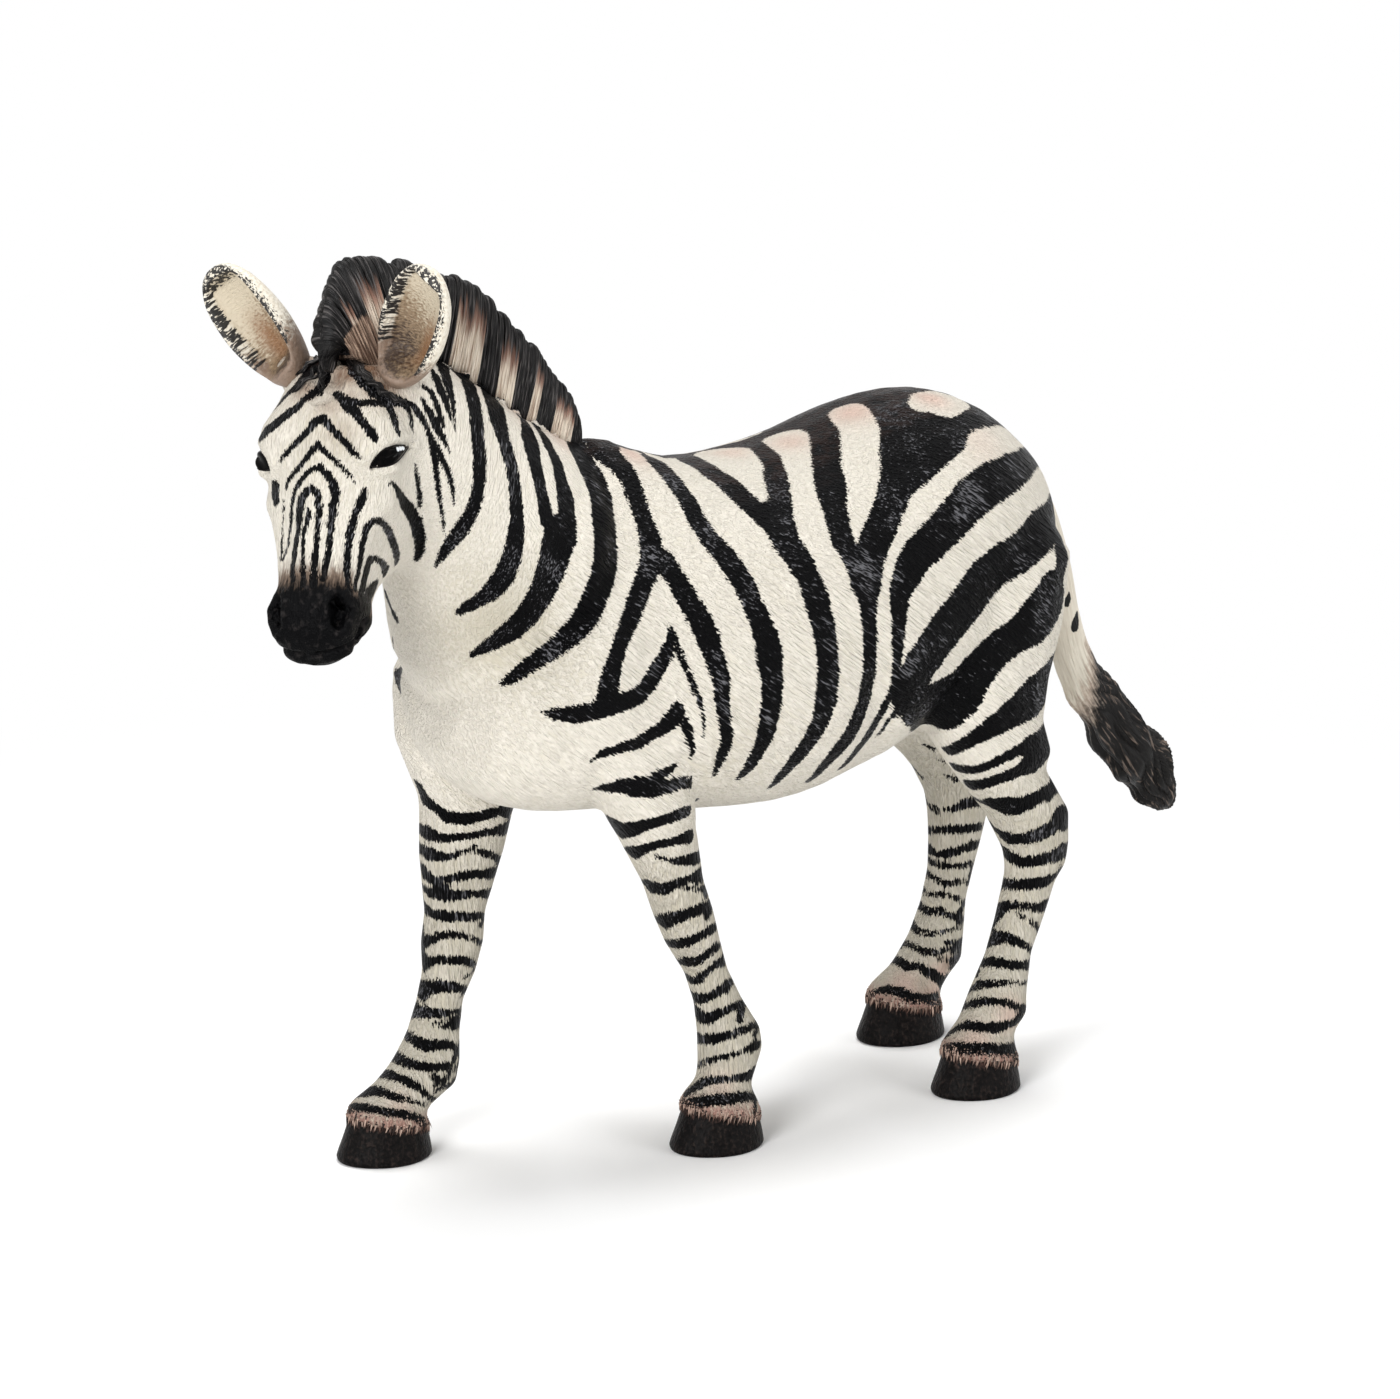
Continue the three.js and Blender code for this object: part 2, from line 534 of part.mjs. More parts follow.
function barrelLoft() {
  const rings = BODY_RING_SHARES.map((row) => ({
    centre: bodyPlace(row.along, row.widest),
    tall: UP,
    across: LEFT,
    rise: (row.widest - row.back) * BODY_DEPTH,
    drop: (row.belly - row.widest) * BODY_DEPTH,
    half: row.width * BARREL_WIDTH / 2,
    upper: row.crest,
    lower: row.keel,
  }));
  return loft(rings, BODY_SIDES);
}

// Neck
const [NECK_AXIS, NECK_CREST] = turned(FORWARD, UP, NECK_RISE_DEGREES);
const NECK_ORIGIN = bodyPlace(NECK_ORIGIN_SHARES.along, NECK_ORIGIN_SHARES.drop);

function neckPlace(alongShare) {
  return NECK_ORIGIN.clone().addScaledVector(NECK_AXIS, alongShare * NECK_LENGTH);
}

function neckLoft(grow) {
  const rings = NECK_RING_SHARES.map((row) => ({
    centre: neckPlace(row.along),
    tall: NECK_CREST,
    across: LEFT,
    rise: row.crest * NECK_DEPTH,
    drop: row.throat * NECK_DEPTH,
    half: row.width * NECK_WIDTH / 2,
    upper: NECK_CREST_POWER,
    lower: NECK_THROAT_POWER,
  }));
  return loft(rings, NECK_SIDES, { grow });
}

// How far the crest of the neck stands off its axis, at a share of its length
function crestShareAt(alongShare) {
  const rows = NECK_RING_SHARES;
  const last = rows.findIndex((row) => row.along >= alongShare);
  const knots = rows.map((row) => row.along);
  const share = (alongShare - knots[last - 1]) / (knots[last] - knots[last - 1]);
  return smoothValue(rows.map((row) => row.crest), knots, last - 1, share);
}

// Head: its own directions down the face, out of the face and to its left
const [HEAD_AHEAD, HEAD_SIDEWAYS] = turned(FORWARD, LEFT, HEAD_TURN_DEGREES);
const [HEAD_OUT, HEAD_TOP] = turned(HEAD_AHEAD, UP, HEAD_SLOPE_DEGREES);
const [HEAD_LEFT, HEAD_CROWN] = turned(HEAD_SIDEWAYS, HEAD_TOP, HEAD_ROLL_DEGREES);
const HEAD_DOWN = HEAD_CROWN.clone().negate();
const POLL_SHARES = { along: 0.985, crest: 0.035 };
const POLL = neckPlace(POLL_SHARES.along).addScaledVector(NECK_CREST, POLL_SHARES.crest * NECK_DEPTH);

function headPlace(alongShare, outShare, sideShare) {
  return POLL.clone()
    .addScaledVector(HEAD_DOWN, alongShare * HEAD_LENGTH)
    .addScaledVector(HEAD_OUT, outShare * HEAD_DEPTH)
    .addScaledVector(HEAD_LEFT, sideShare * HEAD_WIDTH);
}

function headLoft(grow) {
  const rings = HEAD_RING_SHARES.map((row) => ({
    centre: headPlace(row.along, row.widest, 0),
    tall: HEAD_OUT,
    across: HEAD_LEFT,
    rise: (row.face - row.widest) * HEAD_DEPTH,
    drop: (row.widest - row.jaw) * HEAD_DEPTH,
    half: row.width * HEAD_WIDTH / 2,
    upper: FACE_POWER,
    lower: row.jowl,
  }));
  return loft(rings, HEAD_SIDES, { grow });
}

const EYE_SHARES = { along: 0.33, out: -0.16, side: 0.46 };
const NOSTRIL_SHARES = { along: 0.875, out: -0.11, side: 0.28 };
const MOUTH_SHARES = { along: 0.97, out: -0.43 };

function eyes() {
  return [1, -1].map((side) => lump(
    headPlace(EYE_SHARES.along, EYE_SHARES.out, side * EYE_SHARES.side),
    [HEAD_DOWN, HEAD_OUT, HEAD_LEFT],
    [EYE_HEIGHT, EYE_LENGTH, EYE_BULGE],
    EYE_SIDES));
}

function nostrils() {
  return [1, -1].map((side) => lump(
    headPlace(NOSTRIL_SHARES.along, NOSTRIL_SHARES.out, side * NOSTRIL_SHARES.side),
    [HEAD_DOWN, HEAD_OUT, HEAD_LEFT],
    [NOSTRIL_LENGTH, NOSTRIL_DEPTH, NOSTRIL_WIDTH],
    NOSTRIL_SIDES));
}

function mouth() {
  return lump(
    headPlace(MOUTH_SHARES.along, MOUTH_SHARES.out, 0),
    [HEAD_DOWN, HEAD_OUT, HEAD_LEFT],
    [2 * MOUTH_LENGTH, MOUTH_OPENING, HEAD_WIDTH],
    EYE_SIDES);
}

// Ears
function earAxis(ear) {
  return sumOf(
    [HEAD_DOWN, -ear.up], [HEAD_OUT, ear.out], [HEAD_LEFT, ear.side * ear.spread]).normalize();
}

function earLook(ear) {
  const axis = earAxis(ear);
  const look = sumOf(
    [HEAD_OUT, ear.lookOut], [HEAD_LEFT, ear.side * ear.lookSide], [HEAD_DOWN, ear.lookDown]);
  return look.addScaledVector(axis, -look.dot(axis)).normalize();
}

function earSeat(ear) {
  return headPlace(EAR_SEAT_SHARES.along, EAR_SEAT_SHARES.face, ear.side * ear.seatSide);
}

function earRings(ear) {
  const axis = earAxis(ear);
  const look = earLook(ear);
  const root = earSeat(ear).addScaledVector(axis, -EAR_ROOT);
  return EAR_RING_SHARES.map((row) => ({
    centre: root.clone().addScaledVector(axis, row.along * EAR_LENGTH),
    tall: look,
    across: axis.clone().cross(look),
    rise: row.thick * EAR_THICKNESS / 2,
    drop: row.thick * EAR_THICKNESS / 2,
    half: row.width * EAR_WIDTH / 2,
    upper: ROUND_POWER,
    lower: ROUND_POWER,
  }));
}

function earShell(ear, grow) {
  return loft(earRings(ear), EAR_SIDES, { grow });
}

function earHollow(ear) {
  const forward = EAR_HOLLOW_SHARES.forward * EAR_THICKNESS;
  const rings = [];
  earRings(ear).forEach((ring, i) => {
    const along = EAR_RING_SHARES[i].along;
    if (along < EAR_HOLLOW_SHARES.start || along > EAR_HOLLOW_SHARES.end) {
      return;
    }
    const wall = Math.min(EAR_WALL, ring.half / 2, ring.rise / 2);
    rings.push({
      ...ring,
      centre: sumOf([ring.centre, 1], [ring.tall, forward]),
      rise: ring.rise + wall,
      drop: ring.drop + forward - wall,
      half: ring.half - wall,
    });
  });
  return loft(rings, EAR_SIDES);
}

// Mane: a crest of upright locks from the withers over the poll to the forelock
function maneSpine() {
  const neckRings = NECK_MANE_SHARES.map((row) => ({
    base: neckPlace(row.along).addScaledVector(NECK_CREST, crestShareAt(row.along) * NECK_DEPTH),
    tall: sumOf([NECK_CREST, 1], [NECK_AXIS, row.lean]).normalize(),
    height: row.height * MANE_HEIGHT,
    thick: row.thick * MANE_THICKNESS,
  }));
  const headRings = HEAD_MANE_SHARES.map((row) => ({
    base: headPlace(row.along, 0, 0),
    tall: sumOf([HEAD_DOWN, -row.up], [HEAD_OUT, row.out]).normalize(),
    height: row.height * MANE_HEIGHT,
    thick: row.thick * MANE_THICKNESS,
  }));
  return [...neckRings, ...headRings];
}

function maneLoft(grow) {
  const spine = maneSpine();
  const rings = refined(spine.map((row, i) => {
    const before = spine[Math.max(i - 1, 0)].base;
    const after = spine[Math.min(i + 1, spine.length - 1)].base;
    const along = after.clone().sub(before).normalize();
    return {
      centre: row.base,
      tall: row.tall,
      across: along.cross(row.tall).normalize(),
      rise: row.height,
      drop: MANE_SEAT_DEPTH,
      half: row.thick / 2,
      upper: MANE_CREST_POWER,
      lower: MANE_SEAT_POWER,
    };
  }), FINE_STEPS * 2);
  return loft(locksOn(rings), MANE_SIDES, { steps: 1, grow });
}

// Rings at the ridges and the notches between the locks
function locksOn(rings) {
  const knots = [0];
  for (let i = 1; i < rings.length; i += 1) {
    knots.push(knots[i - 1] + rings[i].centre.distanceTo(rings[i - 1].centre));
  }
  const length = knots[knots.length - 1];
  const count = 2 * Math.round(length / MANE_LOCK_SPACING) + 1;
  const result = [];
  for (let i = 0; i < count; i += 1) {
    const at = (i / (count - 1)) * length;
    const last = Math.max(1, knots.findIndex((knot) => knot >= at));
    const share = (at - knots[last - 1]) / (knots[last] - knots[last - 1]);
    const notch = i % 2 === 0 ? MANE_NOTCH : 0;
    const ring = blended(rings[last - 1], rings[last], share);
    ring.rise = Math.max(ring.rise - notch, ring.rise / 2);
    ring.half = Math.max(ring.half - notch / 2, ring.half / 2);
    result.push(ring);
  }
  return result;
}

function blended(from, to, share) {
  const ring = {};
  for (const name of RING_VECTORS) {
    ring[name] = from[name].clone().lerp(to[name], share);
  }
  for (const name of RING_NUMBERS) {
    ring[name] = THREE.MathUtils.lerp(from[name], to[name], share);
  }
  return ring;
}

// Tail: a dock let into the rump, and a tuft of long locks
function tailLoft(grow) {
  const root = bodyPlace(TAIL_SEAT_SHARES.along, TAIL_SEAT_SHARES.drop);
  const inside = root.clone().addScaledVector(FORWARD, TAIL_ROOT);
  const places = TAIL_RING_SHARES.map((row) => sumOf(
    [root, 1], [UP, -row.drop * TAIL_DROP], [FORWARD, -row.reach * TAIL_REACH]));
  const rings = TAIL_RING_SHARES.map((row, i) => {
    const before = i === 0 ? inside : places[i - 1];
    const after = places[Math.min(i + 1, places.length - 1)];
    const along = after.clone().sub(before).normalize();
    const half = (row.dock * TAIL_DOCK_THICKNESS + row.tuft * TAIL_TUFT_THICKNESS) / 2;
    return {
      centre: places[i],
      tall: along.clone().cross(LEFT).normalize(),
      across: LEFT,
      rise: half,
      drop: half,
      half,
      upper: ROUND_POWER,
      lower: ROUND_POWER,
    };
  });
  const start = { ...rings[0], centre: inside, tall: UP };
  const lobes = (ring, angle) => {
    const share = Math.max(0, (2 * ring.half - TAIL_DOCK_THICKNESS) / TAIL_TUFT_THICKNESS);
    return share * TAIL_LOCK_DEPTH * Math.cos(TAIL_LOCKS * angle);
  };
  return loft([start, ...rings], TAIL_SIDES, { grow, lobes });
}

// Legs
function legPlace(leg, jointX, side, row) {
  return new THREE.Vector3(
    jointX - row.reach * leg.height,
    side * row.stance * leg.stance,
    row.up * leg.height);
}

function legRing(centre, size, full, pitch, power) {
  const lengthwise = sumOf([FORWARD, 1], [UP, pitch]);
  return {
    centre,
    tall: lengthwise,
    across: LEFT,
    rise: full * size.length / 2,
    drop: full * size.length / 2,
    half: full * size.width / 2,
    upper: power,
    lower: power,
  };
}

function legLoft({ leg, jointX, side, shares, coronetReach }) {
  const rings = shares.map((row) => legRing(
    legPlace(leg, jointX, side, row), leg[row.part], row.full, row.pitch, LEG_POWER));
  const last = shares[shares.length - 1];
  const coronet = { ...last, reach: coronetReach, up: 0 };
  for (const row of HOOF_RING_SHARES) {
    const centre = legPlace(leg, jointX, side, coronet);
    centre.z = row.up * leg.hoof.height;
    centre.x -= row.toe * leg.hoof.length;
    rings.push(legRing(centre, leg.hoof, row.full, row.pitch, HOOF_POWER));
  }
  return loft(rings, LEG_SIDES, { steps: 1 });
}

const LEGS = {
  front_left_leg: {
    leg: FRONT_LEG, jointX: SHOULDER_X, side: -1, shares: LEFT_FRONT_SHARES,
    partingShare: 0.975, coronetReach: -0.229,
  },
  front_right_leg: {
    leg: FRONT_LEG, jointX: SHOULDER_X, side: 1, shares: RIGHT_FRONT_SHARES,
    partingShare: 0.975, coronetReach: 0.234,
  },
  hind_left_leg: {
    leg: HIND_LEG, jointX: HIP_X, side: -1, shares: LEFT_HIND_SHARES,
    partingShare: 0.99, coronetReach: 0.047,
  },
  hind_right_leg: {
    leg: HIND_LEG, jointX: HIP_X, side: 1, shares: RIGHT_HIND_SHARES,
    partingShare: 0.99, coronetReach: -0.026,
  },
};

// Where a leg's own line crosses the height of its parting
function partingPlace(spec) {
  const height = WITHERS_HEIGHT - spec.partingShare * BODY_DEPTH;
  const places = spec.shares.map((row) => legPlace(spec.leg, spec.jointX, spec.side, row));
  const below = Math.max(1, places.findIndex((place) => place.z <= height));
  const share = (places[below - 1].z - height) / (places[below - 1].z - places[below].z);
  return places[below - 1].clone().lerp(places[below], share);
}

// The pieces as solids, each cut for what seats in it
function cutFor(solid, ...cutters) {
  return cutters.reduce((rest, cutter) => rest.subtract(cutter), solid);
}

function joined(solids) {
  return solids.reduce((whole, solid) => whole.add(solid));
}

function zebraSolids() {
  const pieces = {};
  const stubs = [];
  const torsoCutters = [];
  for (const [name, spec] of Object.entries(LEGS)) {
    const whole = legLoft(spec);
    const place = partingPlace(spec);
    const seat = place.clone().addScaledVector(UP, SEAT_GAP);
    const top = place.clone().addScaledVector(UP, LEG_SPIGOT_LENGTH);
    const under = place.clone().addScaledVector(UP, -LEG_SPIGOT_LENGTH);
    const socketTop = top.clone().addScaledVector(UP, SEAT_GAP);
    stubs.push(whole.intersect(blockBeyond(seat, UP)));
    torsoCutters.push(pin(under, socketTop, LEG_SPIGOT_DIAMETER + 2 * SEAT_GAP));
    pieces[name] = whole.subtract(blockBeyond(place, UP)).add(pin(under, top, LEG_SPIGOT_DIAMETER));
  }

  const mane = maneLoft(0);
  const maneSeat = maneLoft(SEAT_GAP).add(mane);
  const leftEar = cutFor(earShell(LEFT_EAR_SHARES, 0), earHollow(LEFT_EAR_SHARES), maneSeat);
  const rightEar = cutFor(earShell(RIGHT_EAR_SHARES, 0), earHollow(RIGHT_EAR_SHARES), maneSeat);
  const earSeats = [earShell(LEFT_EAR_SHARES, SEAT_GAP), earShell(RIGHT_EAR_SHARES, SEAT_GAP)];

  // The plane between neck and body runs from the withers down to the front of the chest
  const [outward] = turned(FORWARD, UP, NECK_PARTING_DEGREES);
  const inward = outward.clone().negate();
  const body = joined([barrelLoft(), ...stubs, neckLoft(0)]);
  const neckSeat = NECK_ORIGIN.clone().addScaledVector(outward, SEAT_GAP);
  const neckPin = [
    NECK_ORIGIN.clone().addScaledVector(inward, NECK_SPIGOT_LENGTH),
    NECK_ORIGIN.clone().addScaledVector(outward, NECK_SPIGOT_LENGTH),
  ];
  const neckSocketEnd = neckPin[0].clone().addScaledVector(inward, SEAT_GAP);
  const throatlatch = neckPlace(POLL_SHARES.along).addScaledVector(NECK_AXIS, -HEAD_DEPTH);
  const headPin = [
    throatlatch.clone().addScaledVector(NECK_AXIS, -HEAD_SPIGOT_LENGTH / 2),
    throatlatch.clone().addScaledVector(NECK_AXIS, HEAD_SPIGOT_LENGTH),
  ];
  const headSocketEnd = headPin[1].clone().addScaledVector(NECK_AXIS, SEAT_GAP);

  const tail = tailLoft(0);
  pieces.torso = cutFor(
    body.intersect(blockBeyond(NECK_ORIGIN, inward)),
    ...torsoCutters,
    pin(neckSocketEnd, neckPin[1], NECK_SPIGOT_DIAMETER + 2 * SEAT_GAP),
    maneSeat,
    tailLoft(SEAT_GAP));
  pieces.neck = cutFor(body.intersect(blockBeyond(neckSeat, outward)), headLoft(SEAT_GAP))
    .add(pin(...neckPin, NECK_SPIGOT_DIAMETER))
    .add(pin(...headPin, HEAD_SPIGOT_DIAMETER))
    .subtract(maneSeat);
  pieces.neck = cutFor(pieces.neck, ...earSeats);
  pieces.head = cutFor(
    joined([headLoft(0), ...eyes()]),
    ...nostrils(),
    mouth(),
    pin(headPin[0], headSocketEnd, HEAD_SPIGOT_DIAMETER + 2 * SEAT_GAP),
    maneSeat,
    ...earSeats);
  pieces.mane = mane;
  pieces.left_ear = leftEar;
  pieces.right_ear = rightEar;
  pieces.tail = tail;
  return pieces;
}

// Paint
function paintedIvory() {
  return new THREE.MeshStandardMaterial({ color: 0xe9e2d3, roughness: 0.6, metalness: 0 });
}

function paintedBlack() {
  return new THREE.MeshStandardMaterial({ color: 0x241f1d, roughness: 0.55, metalness: 0 });
}

const MATERIALS = { mane: paintedBlack, tail: paintedBlack };

// The figure, moved so that its origin is under the middle of its outline
function zebra() {
  const standing = new THREE.Group();
  for (const [name, solid] of Object.entries(zebraSolids())) {
    const mesh = new THREE.Mesh(geometryOf(solid), (MATERIALS[name] ?? paintedIvory)());
    mesh.name = name;
    standing.add(mesh);
  }
  const outline = new THREE.Box3().setFromObject(standing);
  const middle = outline.getCenter(new THREE.Vector3());
  standing.position.set(-middle.x, -middle.y, -outline.min.z);
  const group = new THREE.Group();
  group.add(standing);
  return group;
}

export default zebra();
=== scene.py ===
import math
import bpy
import numpy as np
from mathutils import Matrix, Vector
from mathutils.bvhtree import BVHTree


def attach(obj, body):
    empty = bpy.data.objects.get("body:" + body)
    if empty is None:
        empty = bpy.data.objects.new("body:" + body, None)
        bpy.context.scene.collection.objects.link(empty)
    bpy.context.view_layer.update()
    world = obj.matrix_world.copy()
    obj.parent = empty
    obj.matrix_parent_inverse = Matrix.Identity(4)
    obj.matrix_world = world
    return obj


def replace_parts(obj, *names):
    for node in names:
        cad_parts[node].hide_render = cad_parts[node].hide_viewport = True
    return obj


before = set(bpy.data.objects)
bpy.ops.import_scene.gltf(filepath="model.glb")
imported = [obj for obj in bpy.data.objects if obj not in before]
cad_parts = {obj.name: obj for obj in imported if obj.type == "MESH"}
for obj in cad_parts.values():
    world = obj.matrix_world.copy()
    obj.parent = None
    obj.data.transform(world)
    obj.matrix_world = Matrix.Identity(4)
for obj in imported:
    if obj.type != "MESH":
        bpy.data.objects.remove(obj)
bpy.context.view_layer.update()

# Lengths are in millimetres until a piece is made, which puts them in metres.
MM = 0.001
SCENE = bpy.context.scene
BODY = "root"

# The photograph's view

PHOTO_WIDTH, PHOTO_HEIGHT = 1400, 1399
FOCAL_PIXELS = 8320
SENSOR_WIDTH = 36
LOOK_AT = np.array((-8.24, -6.79, 45.0))
VIEW_TURN, VIEW_TILT, VIEW_DISTANCE = math.radians(-37), math.radians(15.5), 800
VIEW_BACK = np.array((
    math.sin(VIEW_TURN) * math.cos(VIEW_TILT),
    -math.cos(VIEW_TURN) * math.cos(VIEW_TILT),
    math.sin(VIEW_TILT),
))
VIEW_RIGHT = np.array((math.cos(VIEW_TURN), math.sin(VIEW_TURN), 0))
VIEW_UP = np.cross(VIEW_BACK, VIEW_RIGHT)
VIEWPOINT = LOOK_AT + VIEW_BACK * VIEW_DISTANCE
VIEW_LEVEL = np.array((-math.sin(VIEW_TURN), math.cos(VIEW_TURN), 0))
# Where along a ray that misses a skin its closest point is looked for
VIEW_DEPTHS = range(730, 881, 2)
# A surface that turns further away than this isn't in the photograph
SEEN_FACING = 0.08

# The head's own directions

# From the figure's own zero to the part's, in mm
MIDDLE_SHIFT = np.array((8.24, 0, 0))
POLL = np.array((-37.92, 0, 82.46)) - MIDDLE_SHIFT
HEAD_DOWN = np.array((-0.4149, -0.3902, -0.8219))
HEAD_OUT = np.array((-0.718, -0.4145, 0.5592))
HEAD_LEFT = np.array((0.5589, -0.8221, 0.1082))
HEAD_LENGTH, HEAD_DEPTH, HEAD_WIDTH = 28, 15.5, 13.4

NECK_AXIS = np.array((-0.707, 0, 0.707))
NECK_ORIGIN = np.array((-15.02, 0, 58.01)) - MIDDLE_SHIFT
NECK_PARTING = np.array((-0.777, 0, 0.629))
# A leg's part of the skin ends at its top, and no stroke runs on round it within its root
LEG_TOP, LEG_ROOT = 37, 5

# Cells and rounds of smoothing of the two skins
BODY_CELL, BODY_ROUNDS = 0.4, 36
HEAD_CELL, HEAD_ROUNDS = 0.24, 30
SKIN_GROWTH, HEAD_GROWTH, PLUG_PROUD = 0.25, 0.7, 0.25
HOOF_HEIGHT = 3.6
HOOF_INSET, HOOF_PITCH = 0.9, 0.2

# Each hoof: middle x and y, half length and half width, in the figure's middle frame
HOOF_ROWS = {
    "front_left": (1.75, -7.92, 4.75, 4.16), "front_right": (-26.03, 8.87, 4.75, 4.16),
    "hind_left": (32.86, -9.54, 4.65, 4.06), "hind_right": (37.68, 8.64, 4.65, 4.06),
}

# Each ear: its seat, its axis, the way its hollow looks, its side, and the degrees that it is
# turned about its axis, away from the middle of the head
EARS = {
    "left_ear": ((-32.7, -3.7, 81.37), (-0.01, -0.485, 0.9067),
                 (-0.8528, -0.4265, -0.3013), 1, -24),
    "right_ear": ((-38.75, 5.2, 80.8), (-0.4, 0.56, 0.8),
                  (-0.7285, -0.6739, 0.1232), -1, -32),
}
EAR_LENGTH, EAR_WIDTH, EAR_THICKNESS, EAR_ROOT = 13.4, 7.5, 4.2, 1.4
# The fur heaped round each ear's foot: half sizes across, forward and along the ear, and lift
EAR_FUR, EAR_FUR_LIFT = (2.0, 1.5, 1.6), (-1.4, -0.2)

# Painted stripes

# Strokes of the brush where the photograph shows them: across, down and width, in its pixels.
FLANK_STROKES = [
    [(566, 405, 8), (567, 425, 10), (574, 440, 12), (583, 458, 14), (593, 475, 18),
     (601, 495, 19), (605, 520, 20), (607, 540, 22), (606, 560, 24), (602, 580, 25),
     (594, 600, 26), (583, 620, 26), (570, 635, 24), (555, 648, 20), (540, 658, 18),
     (525, 668, 16), (512, 678, 12), (502, 684, 6)],
    [(600, 440, 20), (605, 450, 18), (620, 465, 18), (630, 480, 18), (637, 500, 18),
     (644, 520, 17), (650, 540, 22), (652, 558, 24), (645, 580, 20), (637, 600, 20),
     (630, 620, 18), (622, 640, 16), (615, 660, 16), (610, 680, 20), (608, 700, 24)],
    [(662, 560, 22), (677, 580, 20), (688, 600, 22), (700, 620, 24), (709, 640, 24),
     (715, 660, 20), (722, 680, 18), (722, 700, 15), (725, 720, 12), (727, 740, 12),
     (722, 755, 10), (716, 770, 5), (714, 776, 2)],
    [(543, 712, 4), (555, 714, 12), (575, 715, 18), (595, 712, 18), (610, 705, 22),
     (625, 702, 18), (640, 695, 16), (650, 682, 16), (660, 665, 15), (668, 650, 14),
     (672, 635, 10), (670, 628, 5)],
    [(674, 640, 8), (680, 655, 8), (687, 670, 7), (693, 685, 7), (699, 700, 6),
     (703, 715, 4), (704, 730, 2), (703, 738, 1)],
    [(590, 762, 2), (603, 753, 8), (620, 748, 10), (640, 742, 12), (660, 730, 14),
     (672, 720, 18), (678, 712, 16), (676, 703, 6)],
    [(684, 722, 10), (690, 738, 9), (693, 750, 6), (691, 758, 3)],
    [(650, 458, 6), (660, 466, 10), (670, 477, 12), (680, 490, 14), (690, 505, 16),
     (697, 520, 18), (707, 535, 18), (718, 548, 20), (728, 560, 22), (738, 575, 22),
     (747, 590, 22), (753, 605, 20), (760, 620, 22), (767, 640, 26), (770, 660, 26),
     (772, 680, 22), (772, 700, 20), (770, 715, 20), (764, 740, 15), (755, 757, 11),
     (745, 772, 7), (738, 779, 3)],
    [(706, 462, 20), (722, 474, 22), (738, 488, 24), (752, 502, 24), (770, 518, 26)],
    [(750, 445, 12), (760, 447, 16), (767, 460, 20), (775, 475, 20), (778, 490, 20),
     (781, 500, 22), (777, 520, 34), (785, 540, 27), (799, 560, 26), (810, 580, 23),
     (817, 600, 26), (822, 620, 24), (826, 640, 23), (828, 660, 21), (828, 680, 22),
     (826, 700, 21), (821, 720, 17), (809, 742, 14), (795, 760, 11), (781, 776, 7),
     (769, 788, 2)],
    [(822, 430, 40), (824, 460, 34), (828, 480, 32), (834, 500, 28), (838, 520, 24),
     (846, 540, 28), (864, 560, 40)],
    [(930, 425, 80), (908, 460, 60), (896, 485, 38), (888, 505, 34), (882, 525, 32),
     (872, 548, 34), (864, 560, 40), (866, 580, 32), (868, 600, 19), (869, 620, 15),
     (870, 640, 15), (870, 660, 13), (868, 680, 12), (864, 700, 12), (857, 720, 12),
     (846, 740, 12), (832, 757, 9), (820, 770, 6), (810, 780, 3)],
    [(900, 705, 6), (889, 720, 3), (878, 735, 2)],
]
# Strokes that go on round the buttock, out of the photograph's sight
RUMP_STROKES = [
    [(1030, 458, 22), (1012, 472, 36), (990, 484, 42), (970, 500, 40), (955, 518, 38),
     (937, 537, 36), (918, 555, 34), (908, 572, 30), (900, 592, 22), (899, 615, 16),
     (898, 640, 13), (897, 660, 9), (894, 682, 6), (889, 697, 6), (880, 715, 6),
     (870, 732, 6), (860, 747, 6), (850, 759, 4), (841, 768, 2)],
    [(1057, 508, 34), (1040, 532, 34), (1020, 552, 34), (1000, 565, 34), (982, 582, 34),
     (968, 602, 34), (950, 625, 34), (935, 645, 32), (922, 665, 32), (912, 685, 34),
     (908, 705, 22)],
    [(1060, 572, 10), (1052, 598, 36), (1035, 622, 38), (1018, 635, 32), (1000, 648, 32),
     (985, 662, 34), (970, 676, 36), (955, 692, 40), (938, 704, 42), (922, 706, 36),
     (910, 704, 24)],
    [(1034, 696, 28), (1022, 706, 28), (1008, 716, 24), (992, 727, 20), (978, 736, 16),
     (962, 745, 12), (948, 751, 8), (935, 750, 4), (922, 744, 1)],
    [(1030, 745, 16), (1015, 752, 10), (1000, 760, 9), (985, 767, 9), (970, 770, 8),
     (955, 767, 6), (945, 763, 3), (936, 758, 1)],
    [(1035, 760, 20), (1020, 770, 12), (1000, 778, 10), (985, 783, 10), (970, 785, 8),
     (958, 780, 6), (945, 775, 2)],
]
# Bare patches left inside the black over the loins
LOIN_WINDOWS = [
    [(848, 412, 30), (860, 430, 36), (860, 450, 38), (861, 470, 38), (862, 490, 28),
     (858, 510, 22), (856, 530, 10), (857, 542, 2)],
    [(922, 404, 14), (936, 402, 20), (950, 398, 16), (958, 396, 10)],
    [(724, 454, 22), (738, 465, 24), (752, 482, 17), (762, 498, 8)],
    [(786, 439, 32), (795, 453, 24), (803, 470, 16), (810, 490, 8)],
]
# Lower edge of the black along the spine, from the withers to the croup
SPINE_EDGE = [
    (590, 438), (600, 446), (615, 447), (628, 445), (640, 449), (650, 457), (665, 458),
    (680, 458), (700, 459), (720, 453), (740, 447), (760, 445), (780, 437), (800, 436),
    (840, 445), (880, 450), (920, 450), (950, 440), (970, 434), (990, 427), (1005, 428),
    (1018, 437), (1026, 447),
]
